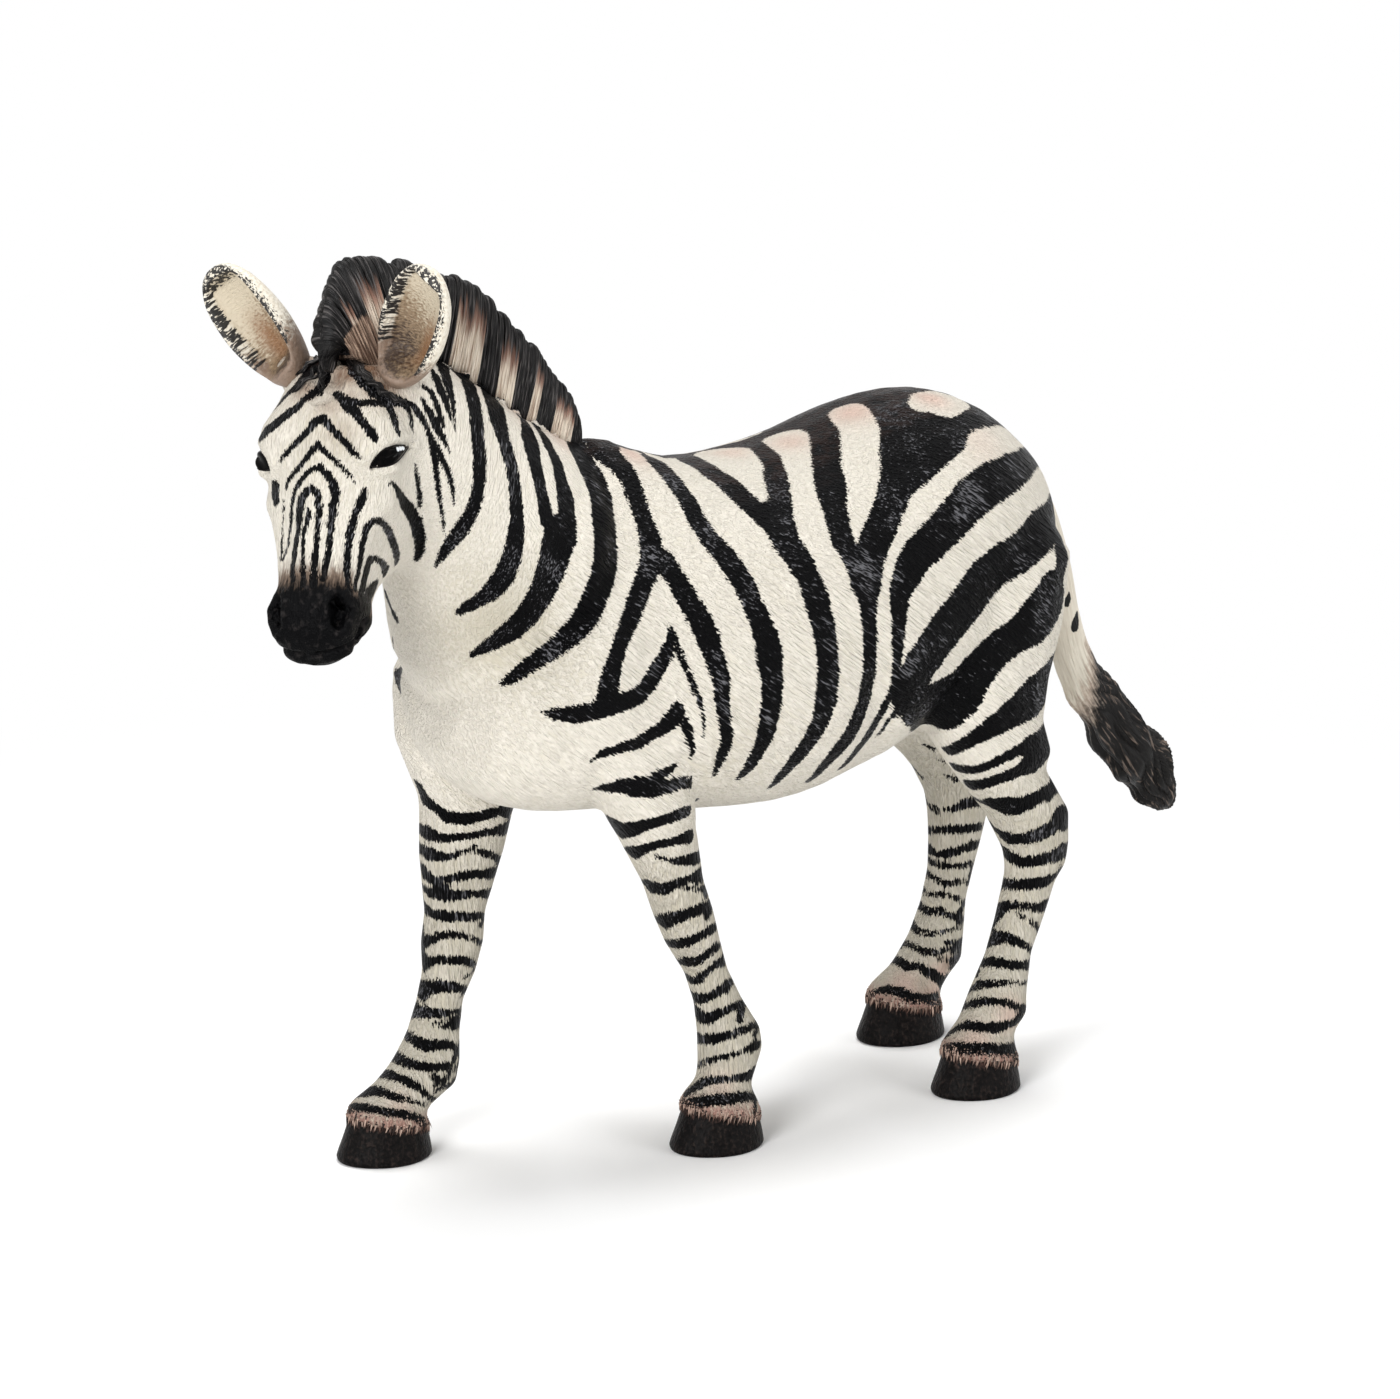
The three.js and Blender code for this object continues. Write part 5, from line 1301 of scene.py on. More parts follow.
def tuft_tree():
    """A pointed tuft on every point, lying as its lay says and bent towards its bend."""
    tree = bpy.data.node_groups.new("hair_tufts", "GeometryNodeTree")
    sockets = {}
    for name, kind in (("Points", "Geometry"), ("Length", "Float"), ("Width", "Float"),
                       ("Bend", "Float"), ("Seed", "Int"), ("Material", "Material"),
                       ("Tufts", "Geometry")):
        made = tree.interface.new_socket(name, in_out="OUTPUT" if name == "Tufts" else "INPUT",
                                         socket_type="NodeSocket" + kind)
        sockets[name] = made.identifier

    def node(kind, settings=None, **links):
        made = tree.nodes.new(kind)
        for key, value in (settings or {}).items():
            setattr(made, key, value)
        for key, value in links.items():
            slot = made.inputs[int(key[1:])] if key[0] == "i" and key[1:].isdigit() \
                else made.inputs[key.replace("_", " ")]
            if isinstance(value, bpy.types.NodeSocket):
                tree.links.new(value, slot)
            else:
                slot.default_value = value
        return made

    given = tree.nodes.new("NodeGroupInput").outputs
    cone = node("GeometryNodeMeshCone", {"fill_type": "TRIANGLE_FAN"}, Vertices=5,
                Side_Segments=3, Radius_Bottom=given["Width"], Radius_Top=0.0,
                Depth=given["Length"])
    place = node("ShaderNodeSeparateXYZ", i0=node("GeometryNodeInputPosition").outputs[0])
    share = node("ShaderNodeMath", {"operation": "DIVIDE"}, i0=place.outputs["Z"],
                 i1=given["Length"])
    square = node("ShaderNodeMath", {"operation": "MULTIPLY"}, i0=share.outputs[0],
                  i1=share.outputs[0])
    aside = node("ShaderNodeMath", {"operation": "MULTIPLY"}, i0=square.outputs[0],
                 i1=given["Bend"])
    offset = node("ShaderNodeCombineXYZ", X=aside.outputs[0])
    bent = node("GeometryNodeSetPosition", Geometry=cone.outputs["Mesh"],
                Offset=offset.outputs[0])
    marked = node("GeometryNodeStoreNamedAttribute", {"data_type": "FLOAT", "domain": "POINT"},
                  Geometry=bent.outputs[0], Name="tip", Value=share.outputs[0])
    lay, bend = (node("GeometryNodeInputNamedAttribute", {"data_type": "FLOAT_VECTOR"}, Name=n)
                 for n in ("lay", "bend"))
    upright = node("FunctionNodeAlignRotationToVector", {"axis": "Z"},
                   Vector=lay.outputs["Attribute"])
    turned = node("FunctionNodeAlignRotationToVector", {"axis": "X", "pivot_axis": "Z"},
                  Rotation=upright.outputs[0], Vector=bend.outputs["Attribute"])
    size = node("FunctionNodeRandomValue", {"data_type": "FLOAT"}, i2=0.7, i3=1.3,
                Seed=given["Seed"])
    put = node("GeometryNodeInstanceOnPoints", Points=given["Points"],
               Instance=marked.outputs[0], Rotation=turned.outputs[0], Scale=size.outputs[1])
    tone = node("FunctionNodeRandomValue", {"data_type": "FLOAT"}, Seed=given["Seed"])
    toned = node("GeometryNodeStoreNamedAttribute", {"data_type": "FLOAT", "domain": "INSTANCE"},
                 Geometry=put.outputs[0], Name="tone", Value=tone.outputs[1])
    real = node("GeometryNodeRealizeInstances", Geometry=toned.outputs[0])
    done = node("GeometryNodeSetMaterial", Geometry=real.outputs[0], Material=given["Material"])
    tree.links.new(done.outputs[0], tree.nodes.new("NodeGroupOutput").inputs["Tufts"])
    return tree, sockets


def tufts(name, points, lay, bend, length, width, curve, material):
    """Hair tufts on points, in mm, made by the tree and kept as a plain mesh."""
    seeds = bpy.data.meshes.new(name)
    seeds.from_pydata((points * MM).tolist(), [], [])
    for key, values in (("lay", lay), ("bend", bend)):
        seeds.attributes.new(key, "FLOAT_VECTOR", "POINT").data.foreach_set(
            "vector", np.asarray(values, np.float32).ravel())
    holder = in_scene(name, seeds)
    tree, sockets = tuft_tree()
    grow = holder.modifiers.new("tufts", "NODES")
    grow.node_group = tree
    for key, value in (("Length", length * MM), ("Width", width * MM), ("Bend", curve * MM),
                       ("Seed", 4), ("Material", material)):
        grow[sockets[key]] = value
    grown = finished_mesh(holder)
    grown.name = name
    return placed(grown)


# Rows of hair over each hoof: lift of the roots, how far down the tips lie, as a share of
# the hoof's height, and how many tufts
FRINGE_ROWS = [(0.66, 1.0, 120), (0.45, 0.94, 126), (0.24, 0.88, 132), (0.03, 0.8, 138)]
FRINGE_LENGTH, FRINGE_WIDTH, FRINGE_BEND = 0.85, 0.11, 0.12


def fringe_paint():
    p = Paint("hoof_fringe")
    tip, tone = p.attribute("tip"), p.attribute("tone")
    hair = p.mixed(tone.over(0.1, 0.9), tint(100, 76, 66), tint(190, 164, 149))
    hair = p.mixed((tone * 7.3 - 5.6).over(0.0, 0.6), hair, tint(40, 30, 27))
    hair = p.mixed(tip.over(0.4, 1.0) * 0.7, hair, tint(74, 50, 43))
    mist = p.grain(0.3, 2)
    return p.finished(hair, 0.6 + mist * 0.1, 0.2, p.bumped(mist, 0.1, 0.5))


def make_fringe():
    """The rows of short hair that lie over the top edge of each hoof."""
    rng = np.random.default_rng(21)
    roots, lays, bends = [], [], []
    for leg in HOOF_ROWS:
        own = body.part(leg_mask(leg, body.points, 14))
        rings, heights = hoof_rings(leg)
        middle = rings[0].mean(0)
        for lift, low, count in FRINGE_ROWS:
            top, tip = rings[np.abs(heights - 1.0).argmin()], rings[np.abs(heights - low).argmin()]
            for k in range(count):
                at = (k + rng.uniform(-0.3, 0.3)) / count * HOOF_SIDES
                here = int(at) % HOOF_SIDES
                out = unit((top[here] - middle) * (1, 1, 0))
                root, _ = own.nearest(top[here] + (0, 0, lift + rng.uniform(-0.25, 0.25)))
                aim = tip[here] + out * 0.12 + rng.normal(0, 0.1, 3) - root
                roots.append(root - out * 0.05)
                lays.append(unit(aim))
                bends.append(out)
    return tufts("coronet_hair", np.array(roots), lays, bends, FRINGE_LENGTH, FRINGE_WIDTH,
                 -FRINGE_BEND, fringe_paint())


make_fringe()


# Mane

# Each row: where the hair leaves the neck or head, where its tip stands, half thickness
MANE_ROWS = [
    (-9.4, 0, 70.1, -9.2, 0, 70.8, 0.7), (-12.13, 0, 71.82, -9.81, 0, 74.11, 1.3),
    (-15.41, 0, 73.84, -12.08, 0, 77.47, 1.6), (-19.09, 0, 76.42, -15.0, 0, 80.87, 1.75),
    (-23.08, 0, 79.65, -18.79, 0, 84.82, 1.8), (-27.47, 0, 82.01, -22.41, 0, 88.1, 1.8),
    (-32.63, 0, 82.19, -26.76, 0, 89.9, 1.85), (-37.34, 0.55, 83.61, -34.5, 1.9, 91.5, 1.85),
    (-37.92, 0.1, 83.4, -38.1, 0.9, 87.3, 0.95), (-38.4, -0.25, 82.7, -39.1, -0.4, 83.9, 0.45),
    (-38.6, -0.45, 82.2, -39.4, -0.6, 82.7, 0.25), (-38.8, -0.6, 81.8, -39.4, -0.8, 82.1, 0.15),
]
# How many rows further on a hair's tip stands, row by row
MANE_SWEEP = (0.5, 0.55, 0.6, 0.7, 0.75, 0.8, 1.1, 1.5, 1.3, 0.9, 0.5, 0.0)
# Black locks, counted in rows from the withers
MANE_BLACK = ((0.05, 0.65), (1.43, 2.0), (2.28, 2.78), (3.26, 3.79), (4.55, 5.2), (5.5, 5.75),
              (6.05, 6.27), (6.42, 12.0))
MANE_STRANDS, MANE_PROFILE = 760, 30
# Widths of its locks and strands, how deep they root, and how much lower the tips stand
# between two locks and between two strands, in mm
LOCK_WIDTH, STRAND_WIDTH, MANE_ROOT, LOCK_CUT, STRAND_CUT = 1.0, 0.4, 1.2, 0.34, 0.1
# Rows over which the mane goes over on to the head, and from upright to hanging hair
MANE_ON_HEAD, MANE_HANGS = (6.2, 7.4), (7.3, 8.6)
# Rows over which brown fur comes in at its foot, and goes out
FUR_IN, FUR_OUT = (5.85, 6.2), (6.85, 7.1)
# Sharpness of a black lock's ends, in rows
BLACK_EDGE = 0.06


def mane_paint():
    p = Paint("mane_hair")
    lay = p.attribute("lay", "Vector")
    strands, broad = p.noise(lay, roughness=0.6), p.noise(lay, 0.35, 1.0)
    black_lock, rise = p.attribute("black"), p.attribute("rise")
    cream = p.mixed(strands.over(0.3, 0.62), tint(168, 146, 128), tint(226, 214, 197))
    cream = p.mixed((rise + (broad - 0.5) * 0.5).over(0.42, 0.68) * 0.85, cream, tint(122, 84, 70))
    # Black hair with light grey streaks along the strands: painted highlights
    dark = p.mixed(strands.over(0.5, 0.7), tint(7, 6, 6), tint(92, 88, 87))
    tips = (rise + (broad - 0.5) * 0.6 + (strands - 0.5) * 0.3).over(0.6, 0.82)
    inked = (black_lock + (strands - 0.5) * 0.5).over(0.4, 0.6)
    hair = p.mixed(tips, cream, dark)
    hair = p.mixed(inked, hair, dark)
    fur = p.mixed(strands.over(0.35, 0.7), tint(84, 62, 50), tint(184, 158, 138))
    hair = p.mixed((p.attribute("fur") + (strands - 0.5) * 0.6).over(0.3, 0.6), hair, fur)
    return p.finished(hair, 0.4 + strands * 0.15, 0.2,
                      p.bumped(strands * 0.9 + broad * 0.3, 0.5))


def lock_shape(along, width, rng):
    """Rounded locks side by side, 1 in the middle of each and 0 between two, and their numbers."""
    edges = [along.min()]
    while edges[-1] < along.max():
        edges.append(edges[-1] + width * rng.uniform(0.65, 1.35))
    edges = np.array(edges)
    own = np.clip(np.searchsorted(edges, along, "right") - 1, 0, len(edges) - 2)
    middle = (edges[own] + edges[own + 1]) / 2
    half = (edges[own + 1] - edges[own]) / 2
    return np.sqrt(np.maximum(1 - ((along - middle) / half) ** 2, 0)), own


def make_mane(material):
    """The mane's crest of locks, swept back, whose front end hangs over the forehead."""
    rng = np.random.default_rng(5)
    steps = np.linspace(0, len(MANE_ROWS) - 1, 4000)
    ends = row_at(MANE_ROWS, steps)
    lean = np.interp(steps, range(len(MANE_SWEEP)), MANE_SWEEP)
    tip_rows = row_at(MANE_ROWS, steps + lean)
    middles = (ends[:, :3] + tip_rows[:, 3:6]) / 2
    run = run_along(middles)
    even = np.interp(np.linspace(0, run[-1], MANE_STRANDS), run, steps)
    rows = row_at(MANE_ROWS, even)
    lean = np.interp(even, range(len(MANE_SWEEP)), MANE_SWEEP)
    tips = row_at(MANE_ROWS, even + lean)[:, 3:6]
    roots, half = rows[:, :3], rows[:, 6]
    along = np.linspace(0, run[-1], MANE_STRANDS)
    lock, own = lock_shape(along, LOCK_WIDTH, rng)
    strand, _ = lock_shape(along, STRAND_WIDTH, rng)
    taller = rng.uniform(-0.045, 0.05, own.max() + 1)[own]
    lean_out = rng.uniform(-0.2, 0.2, own.max() + 1)[own]
    to_tip = tips - roots
    tall = np.linalg.norm(to_tip, axis=1)
    up = to_tip / tall[:, None]
    hang = eased(even, *MANE_HANGS)
    cut = (LOCK_CUT * (1 - lock) + STRAND_CUT * (1 - strand)) * (1 - hang)
    tall = tall * (1 + taller * (1 - hang)) - cut * np.minimum(tall / 4, 1)
    on_head = eased(even, *MANE_ON_HEAD)[:, None]
    aside = unit((1 - on_head) * np.array((0.0, -1, 0)) + on_head * HEAD_LEFT)
    aside = unit(aside - np.einsum("ij,ij->i", aside, up)[:, None] * up)
    turn = np.linspace(-math.pi / 2, math.pi / 2, MANE_PROFILE * 2 + 1)
    rings, rises, across = [], [], []
    for angle in turn:
        height = np.cos(angle) ** 0.55
        width = np.sign(angle) * abs(math.sin(angle)) ** 0.75
        hung = np.abs(np.sin(angle * 8 + 0.9 * np.sin(along * 1.3) + 0.5 * np.sin(along * 3.1)))
        upright = 0.72 + 0.16 * lock * height ** 0.3 + 0.12 * strand
        bulge = half * (upright * (1 - hang) + (0.8 + 0.2 * hung) * hang)
        reach = height * (tall + MANE_ROOT) * (1 + hang * 0.1 * (hung - 0.7))
        point = roots - up * MANE_ROOT + up * reach[:, None]
        point = point + aside * (lean_out * (1 - hang) * height ** 2 - bulge * width)[:, None]
        rings.append(point - MIDDLE_SHIFT)
        rises.append(np.full(MANE_STRANDS, height))
        across.append(np.full(MANE_STRANDS, angle))
    rings = np.array(rings).transpose(1, 0, 2)
    points, faces = wrapped(rings)
    black = np.zeros(MANE_STRANDS)
    for low, high in MANE_BLACK:
        edge = np.minimum(even - low, high - even) / BLACK_EDGE
        black = np.maximum(black, np.clip(0.5 + edge, 0, 1))
    count = rings.shape[1]
    rises, across = (np.array(a).T.ravel() for a in (rises, across))
    falls = np.repeat(hang, count)
    run = np.repeat(along, count)
    lay = np.stack([run * 5.0 * (1 - falls) + across * 12 * falls,
                    rises * 2.2 * (1 - falls) + run * 0.7 * falls, np.sign(across) * 7], 1)
    place = np.repeat(even, count)
    brown = (1 - eased(rises, 0.4, 0.62)) * eased(place, *FUR_IN) * (1 - eased(place, *FUR_OUT))
    return made_piece("mane_hair", points, faces, material, "black_paint",
                      black=capped(np.repeat(black, count)), rise=capped(rises),
                      lay=capped(lay), fur=capped(brown))


mane_material = mane_paint()
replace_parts(make_mane(mane_material), "mane")

# Locks of black hair laid over the forehead: a path in the photograph's pixels, the lock's
# half width, its strands and their half thickness in mm
FOREHEAD_LOCKS = [
    ([(338, 335), (343, 346), (350, 358), (359, 370), (369, 381), (380, 391), (393, 399),
      (406, 404)], 0.4, 5, 0.22),
    ([(327, 332), (326, 344), (325, 356), (324, 368), (323, 380), (321, 392)], 0.3, 6, 0.22),
    ([(319, 358), (313, 364), (305, 370), (296, 376)], 0.3, 3, 0.18),
    ([(317, 370), (310, 378), (302, 386), (292, 393)], 0.25, 2, 0.16),
]
LOCK_RINGS, LOCK_SIDES = 64, 8


def make_forehead_locks(material):
    """Wavy tapered strands that lie on the forehead in locks, as one piece."""
    rng = np.random.default_rng(8)
    share = np.linspace(0, 1, LOCK_RINGS)
    around = np.linspace(0, 2 * math.pi, LOCK_SIDES, endpoint=False)
    points, faces, lays = [], [], []
    count = 0
    for path, spread, strands, thick in FOREHEAD_LOCKS:
        found = [head.under(*p) for p in path]
        line = curve_through([np.concatenate([f[0], f[1]]) for f in found], LOCK_RINGS)
        middle, out = line[:, :3], unit(line[:, 3:])
        side = unit(np.cross(np.gradient(middle, axis=0), out))
        length = run_along(middle)[-1]
        for strand in range(strands):
            seat = (strand / max(strands - 1, 1) - 0.5) * 2 * spread
            turns = share * length / rng.uniform(1.5, 2.4) * 2 * math.pi + rng.uniform(0, 6)
            drift = seat * (1 - 0.8 * share) + 0.2 * np.sin(turns)
            size = thick * np.sin(np.pi * (share * 0.86 + 0.14)) ** 0.5 + 0.02
            lift = size * 0.45 + 0.12 * np.cos(turns * 0.7) + 0.1
            centre = middle + side * drift[:, None] + out * lift[:, None]
            rings = centre[:, None] + size[:, None, None] * (
                side[:, None] * np.cos(around)[None, :, None]
                + out[:, None] * np.sin(around)[None, :, None])
            own, own_faces = wrapped(rings)
            points.append(own)
            faces += [tuple(i + count for i in f) for f in own_faces]
            count += len(own)
            lay = np.stack([np.tile(np.cos(around), LOCK_RINGS), np.repeat(share * 6, LOCK_SIDES)
                            + strand * 9, np.tile(np.sin(around), LOCK_RINGS)], 1)
            lays.append(capped(lay))
    whole = np.ones(count)
    made_piece("forehead_locks", np.concatenate(points), faces, material, "black_paint",
               black=whole, rise=whole, fur=0 * whole, lay=np.concatenate(lays))


make_forehead_locks(mane_material)


# Ears

# Along the ear, width and thickness, in shares
EAR_PROFILE = [
    (0, 0.22, 0.6), (0.05, 0.4, 0.8), (0.13, 0.6, 0.98), (0.28, 0.84, 1.08), (0.46, 0.99, 1.08),
    (0.64, 1.0, 0.96), (0.8, 0.91, 0.76), (0.91, 0.7, 0.54), (0.97, 0.46, 0.38),
    (1.0, 0.16, 0.2),
]
EAR_RINGS, EAR_ARC = 90, 32
# Where the thick rim starts, as a share of half the width, how round the back is, how far
# the edges curl forward, and how deep the bowl and how proud the rim are
EAR_RIM, EAR_BACK, EAR_CURL, EAR_BOWL, EAR_LIP = 0.8, 1.2, 0.1, 0.86, 0.3


def ear_paint():
    p = Paint("ear_coat")
    bowl, along, across, rim = (p.attribute(n) for n in ("bowl", "along", "across", "rim"))
    lay = p.attribute("lay", "Vector")
    flecks = p.noise(lay, 1.0, 2.5, 0.6)
    fur = p.grain(0.35, 3)
    cream = p.mixed(fur.over(0.35, 0.7), tint(226, 220, 206), tint(204, 194, 176))
    base = p.mixed((0.46 - along + (fur - 0.5) * 0.3).over(0.0, 0.22) * 0.85, cream,
                   tint(108, 78, 58))
    shade = along + across * 0.22 + (fur - 0.5) * 0.3
    nap = p.noise(lay, 1.6, 3.0)
    depth = (shade + (nap - 0.5) * 0.8).over(-0.02, 0.8)
    deep = p.mixed(depth.over(0.0, 0.5), tint(58, 42, 31), tint(138, 117, 92))
    deep = p.mixed(depth.over(0.5, 1.0), deep, tint(198, 186, 164))
    rust = (1 - (across - 0.3).over(0.0, 0.4)) * (across + 0.25).over(0.1, 0.5)
    rust = rust * (0.7 - along).over(0.0, 0.3) * (along - 0.16).over(0.0, 0.12)
    deep = p.mixed(rust * 0.7, deep, tint(134, 92, 56))
    coat = p.mixed((bowl + (flecks - 0.5) * 0.5).over(0.02, 0.2), base, deep)
    ink = (rim * 0.17 + flecks - 0.6).over(0.0, 0.05) * rim.over(0.0, 0.3)
    coat = p.mixed(ink, coat, tint(24, 21, 19))
    return p.finished(coat, 0.55, normal=p.bumped(
        fur * 0.35 + flecks * rim * 0.6 + nap * bowl, 0.35, 0.8))


def make_ear(name, material):
    """A cupped ear: a round back and, from the root up, an open bowl with a thick rim."""
    seat, axis, look, side, turned = EARS[name]
    axis, look = squared(axis, look)
    turned = math.radians(turned)
    look = look * math.cos(turned) + np.cross(axis, look) * math.sin(turned)
    aside = np.cross(axis, look)
    root = np.array(seat) - axis * EAR_ROOT - MIDDLE_SHIFT
    rows = curve_through(EAR_PROFILE, EAR_RINGS)
    back = np.linspace(-math.pi / 2, math.pi / 2, EAR_ARC)
    front = np.linspace(1, -1, EAR_ARC + 2)[1:-1]
    is_front = np.repeat((0.0, 1.0), EAR_ARC)
    convex = np.sqrt(1 - front ** 2)
    inside = np.clip(1 - (front / EAR_RIM) ** 2, 0, 1)
    lip = np.sqrt(np.clip(1 - ((np.abs(front) - (1 + EAR_RIM) / 2)
                               / ((1 - EAR_RIM) / 2)) ** 2, 0, 1))
    hollow = EAR_LIP * lip + 0.1 - EAR_BOWL * inside ** 0.6
    xs = np.concatenate([np.sin(back), front])
    curl = EAR_CURL * xs ** 2
    edge = is_front * eased(np.abs(xs), EAR_RIM - 0.12, EAR_RIM)
    edge = edge * (1 - eased(np.abs(xs), 0.93, 1))
    rings, bowls, rims, alongs, crosses, lays = [], [], [], [], [], []
    for along, width, thick in rows:
        half, rise = width * EAR_WIDTH / 2, thick * EAR_THICKNESS / 2
        open_ = float(eased(along, 0.1, 0.26) * (1 - eased(along, 0.86, 0.96)))
        level = convex * (1 - open_) + hollow * open_
        zs = np.concatenate([-np.cos(back) * EAR_BACK, level])
        rings.append(root + axis * (along * EAR_LENGTH) + aside * (xs * half)[:, None]
                     + look * ((zs + curl) * rise)[:, None])
        bowls.append(is_front * np.concatenate([np.zeros(EAR_ARC), inside]) * open_)
        rims.append(np.maximum(edge * float(eased(along, 0.2, 0.3)),
                               is_front * float(eased(along, 0.84, 0.9))))
        alongs.append(np.full(len(xs), along))
        crosses.append(xs * side)
        lays.append(np.stack([np.full(len(xs), along * EAR_LENGTH * 3.4), xs * half * 1.9,
                              is_front * 5], 1))
    points, faces = wrapped(rings)

    def pad(values):
        return np.concatenate([*values, values[0][:1], values[-1][:1]])

    piece = made_piece(name + "_cup", points, faces, material, "ivory_paint", bowl=pad(bowls),
                       rim=pad(rims), along=pad(alongs), across=pad(crosses), lay=pad(lays))
    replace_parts(piece, name)


ear_material = ear_paint()
for name in EARS:
    make_ear(name, ear_material)


# Tail

# x, z and half thickness down the tail, in mm
TAIL_ROWS = [
    (43.6, 60.4, 1.75), (45.3, 58.2, 1.65), (47.55, 55.07, 1.55), (49.65, 49.29, 1.5),
    (50.6, 43.9, 1.75), (51.9, 39.6, 1.95), (54.06, 35.82, 2.2), (57.21, 31.58, 2.5),
    (60.36, 27.73, 2.7), (62.6, 24.7, 2.3), (64.1, 22.5, 1.5), (64.9, 21.4, 0.5),
]
TAIL_RINGS, TAIL_SIDES, TAIL_LOCKS = 220, 96, 13
# Shares of the tail's length over which its locks and its black come in
TUFT_STARTS, BLACK_STARTS = (0.42, 0.62), (0.36, 0.68)
TAIL_SPOTS = [
    [(1069, 593, 2), (1068, 599, 6), (1067, 604, 6)],
    [(1077, 613, 2), (1076, 622, 7), (1075, 628, 7)],
]


def tail_paint():
    p = Paint("tail_hair")
    lay = p.attribute("lay", "Vector")
    strands = p.noise(lay, roughness=0.6)
    soot, groove = p.attribute("soot"), p.attribute("groove")
    mist = p.grain(0.5, 2)
    ivory = p.mixed(strands.over(0.35, 0.7) * 0.6, tint(224, 217, 202), tint(200, 189, 172))
    warm = soot + (strands - 0.5) * 0.5 + (mist - 0.5) * 0.2
    hair = p.mixed(warm.over(0.18, 0.4) * 0.6, ivory, tint(150, 124, 108))
    # Black tuft with lighter brown-grey streaks, more on the raised locks: hair colour and painted
    # highlights
    dark = p.mixed((strands + groove * 0.12 - 0.1).over(0.54, 0.7) * 0.8, tint(8, 6, 5),
                   tint(118, 104, 94))
    hair = p.mixed(warm.over(0.34, 0.6), hair, dark)
    spot = (p.attribute("stripe") + (strands - 0.5) * 0.4).over(-0.05, 0.05)
    hair = p.mixed(spot, BLACK_PAINT, hair)
    return p.finished(hair, 0.42 + strands * 0.15, 0.2, p.bumped(strands * 0.8, 0.35, 0.8))


def make_tail():
    """The tail with its tuft of twisted locks."""
    rng = np.random.default_rng(11)
    rows = curve_through(TAIL_ROWS, TAIL_RINGS)
    spine_line = np.stack([rows[:, 0], np.zeros(TAIL_RINGS), rows[:, 1]], 1) - MIDDLE_SHIFT
    way = unit(np.gradient(spine_line, axis=0))
    side = np.array((0.0, 1, 0))
    behind = np.cross(way, side)
    share = np.linspace(0, 1, TAIL_RINGS)
    run = run_along(spine_line)
    around = np.linspace(0, 2 * math.pi, TAIL_SIDES, endpoint=False)
    tuft = eased(share, *TUFT_STARTS)
    offsets = rng.uniform(0, 2 * math.pi, TAIL_LOCKS)
    rings, grooves = [], []
    for r in range(TAIL_RINGS):
        wave = 0.32 * math.sin(share[r] * 17 + 0.6) + 0.16 * math.sin(share[r] * 41)
        angle = around + tuft[r] * (wave + 0.5 * np.sin(around + share[r] * 9))
        ridge = np.abs(np.sin(angle * TAIL_LOCKS / 2
                              + 1.1 * np.sin(around * 2 + offsets[0]))) ** 0.8
        fine = np.abs(np.sin(angle * TAIL_LOCKS * 1.5 + offsets[1])) ** 0.7
        relief = tuft[r] * (0.24 * (ridge - 0.6) + 0.07 * (fine - 0.6))
        swell = 1 + tuft[r] * (0.1 * np.sin(share[r] * 36 + 3 * np.sin(around + 1) + offsets[2])
                               + 0.07 * np.sin(share[r] * 61 + 2 * around + offsets[3]))
        size = rows[r, 2] * (1 + relief) * swell
        rings.append(spine_line[r] + side * (np.sin(around) * size)[:, None]
                     + behind[r] * (np.cos(around) * size)[:, None])
        grooves.append(ridge)
    points, faces = wrapped(rings)
    backward = np.tile(np.cos(around), TAIL_RINGS)
    along = np.repeat(share, TAIL_SIDES)
    soot = eased(along + 0.07 * backward, *BLACK_STARTS)
    lay = np.stack([np.repeat(run, TAIL_SIDES) * 0.4, np.tile(np.cos(around) * 8.5, TAIL_RINGS),
                    np.tile(np.sin(around) * 8.5, TAIL_RINGS)], 1)
    skin = Skin(points, fans(faces))
    spots = paint_reach(skin, [traced(skin, s) for s in TAIL_SPOTS])
    piece = made_piece("tail_hair", points, faces, tail_paint(), "black_paint", soot=capped(soot),
                       lay=capped(lay), groove=capped(np.concatenate(grooves)), stripe=spots)
    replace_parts(piece, "tail")


make_tail()


# Eyes

EYE_DOME, EYE_RINGS, EYE_SIZE, LID_SIZE = 0.95, 24, 0.98, 0.11
# The painted glint: places in the photograph, and size in mm
GLINTS, GLINT_SIZE = [(393, 451.6), (396, 450.8), (399, 450.2)], 0.26


def eye_paint():
    p = Paint("eye_gloss")
    mist = p.grain(0.6, 2)
    ball = p.mixed(mist.over(0.45, 0.7) * 0.3, tint(3, 3, 3), tint(22, 18, 16))
    ball = p.mixed(p.attribute("glint").over(0.35, 0.6), ball, tint(230, 233, 235))
    return p.finished(ball, 0.06, 0.04)


def lid_paint():
    p = Paint("lid_line")
    mist = p.grain(0.4, 2)
    return p.finished(p.mixed(mist, tint(6, 5, 5), tint(26, 22, 20)), 0.5, 0.1)


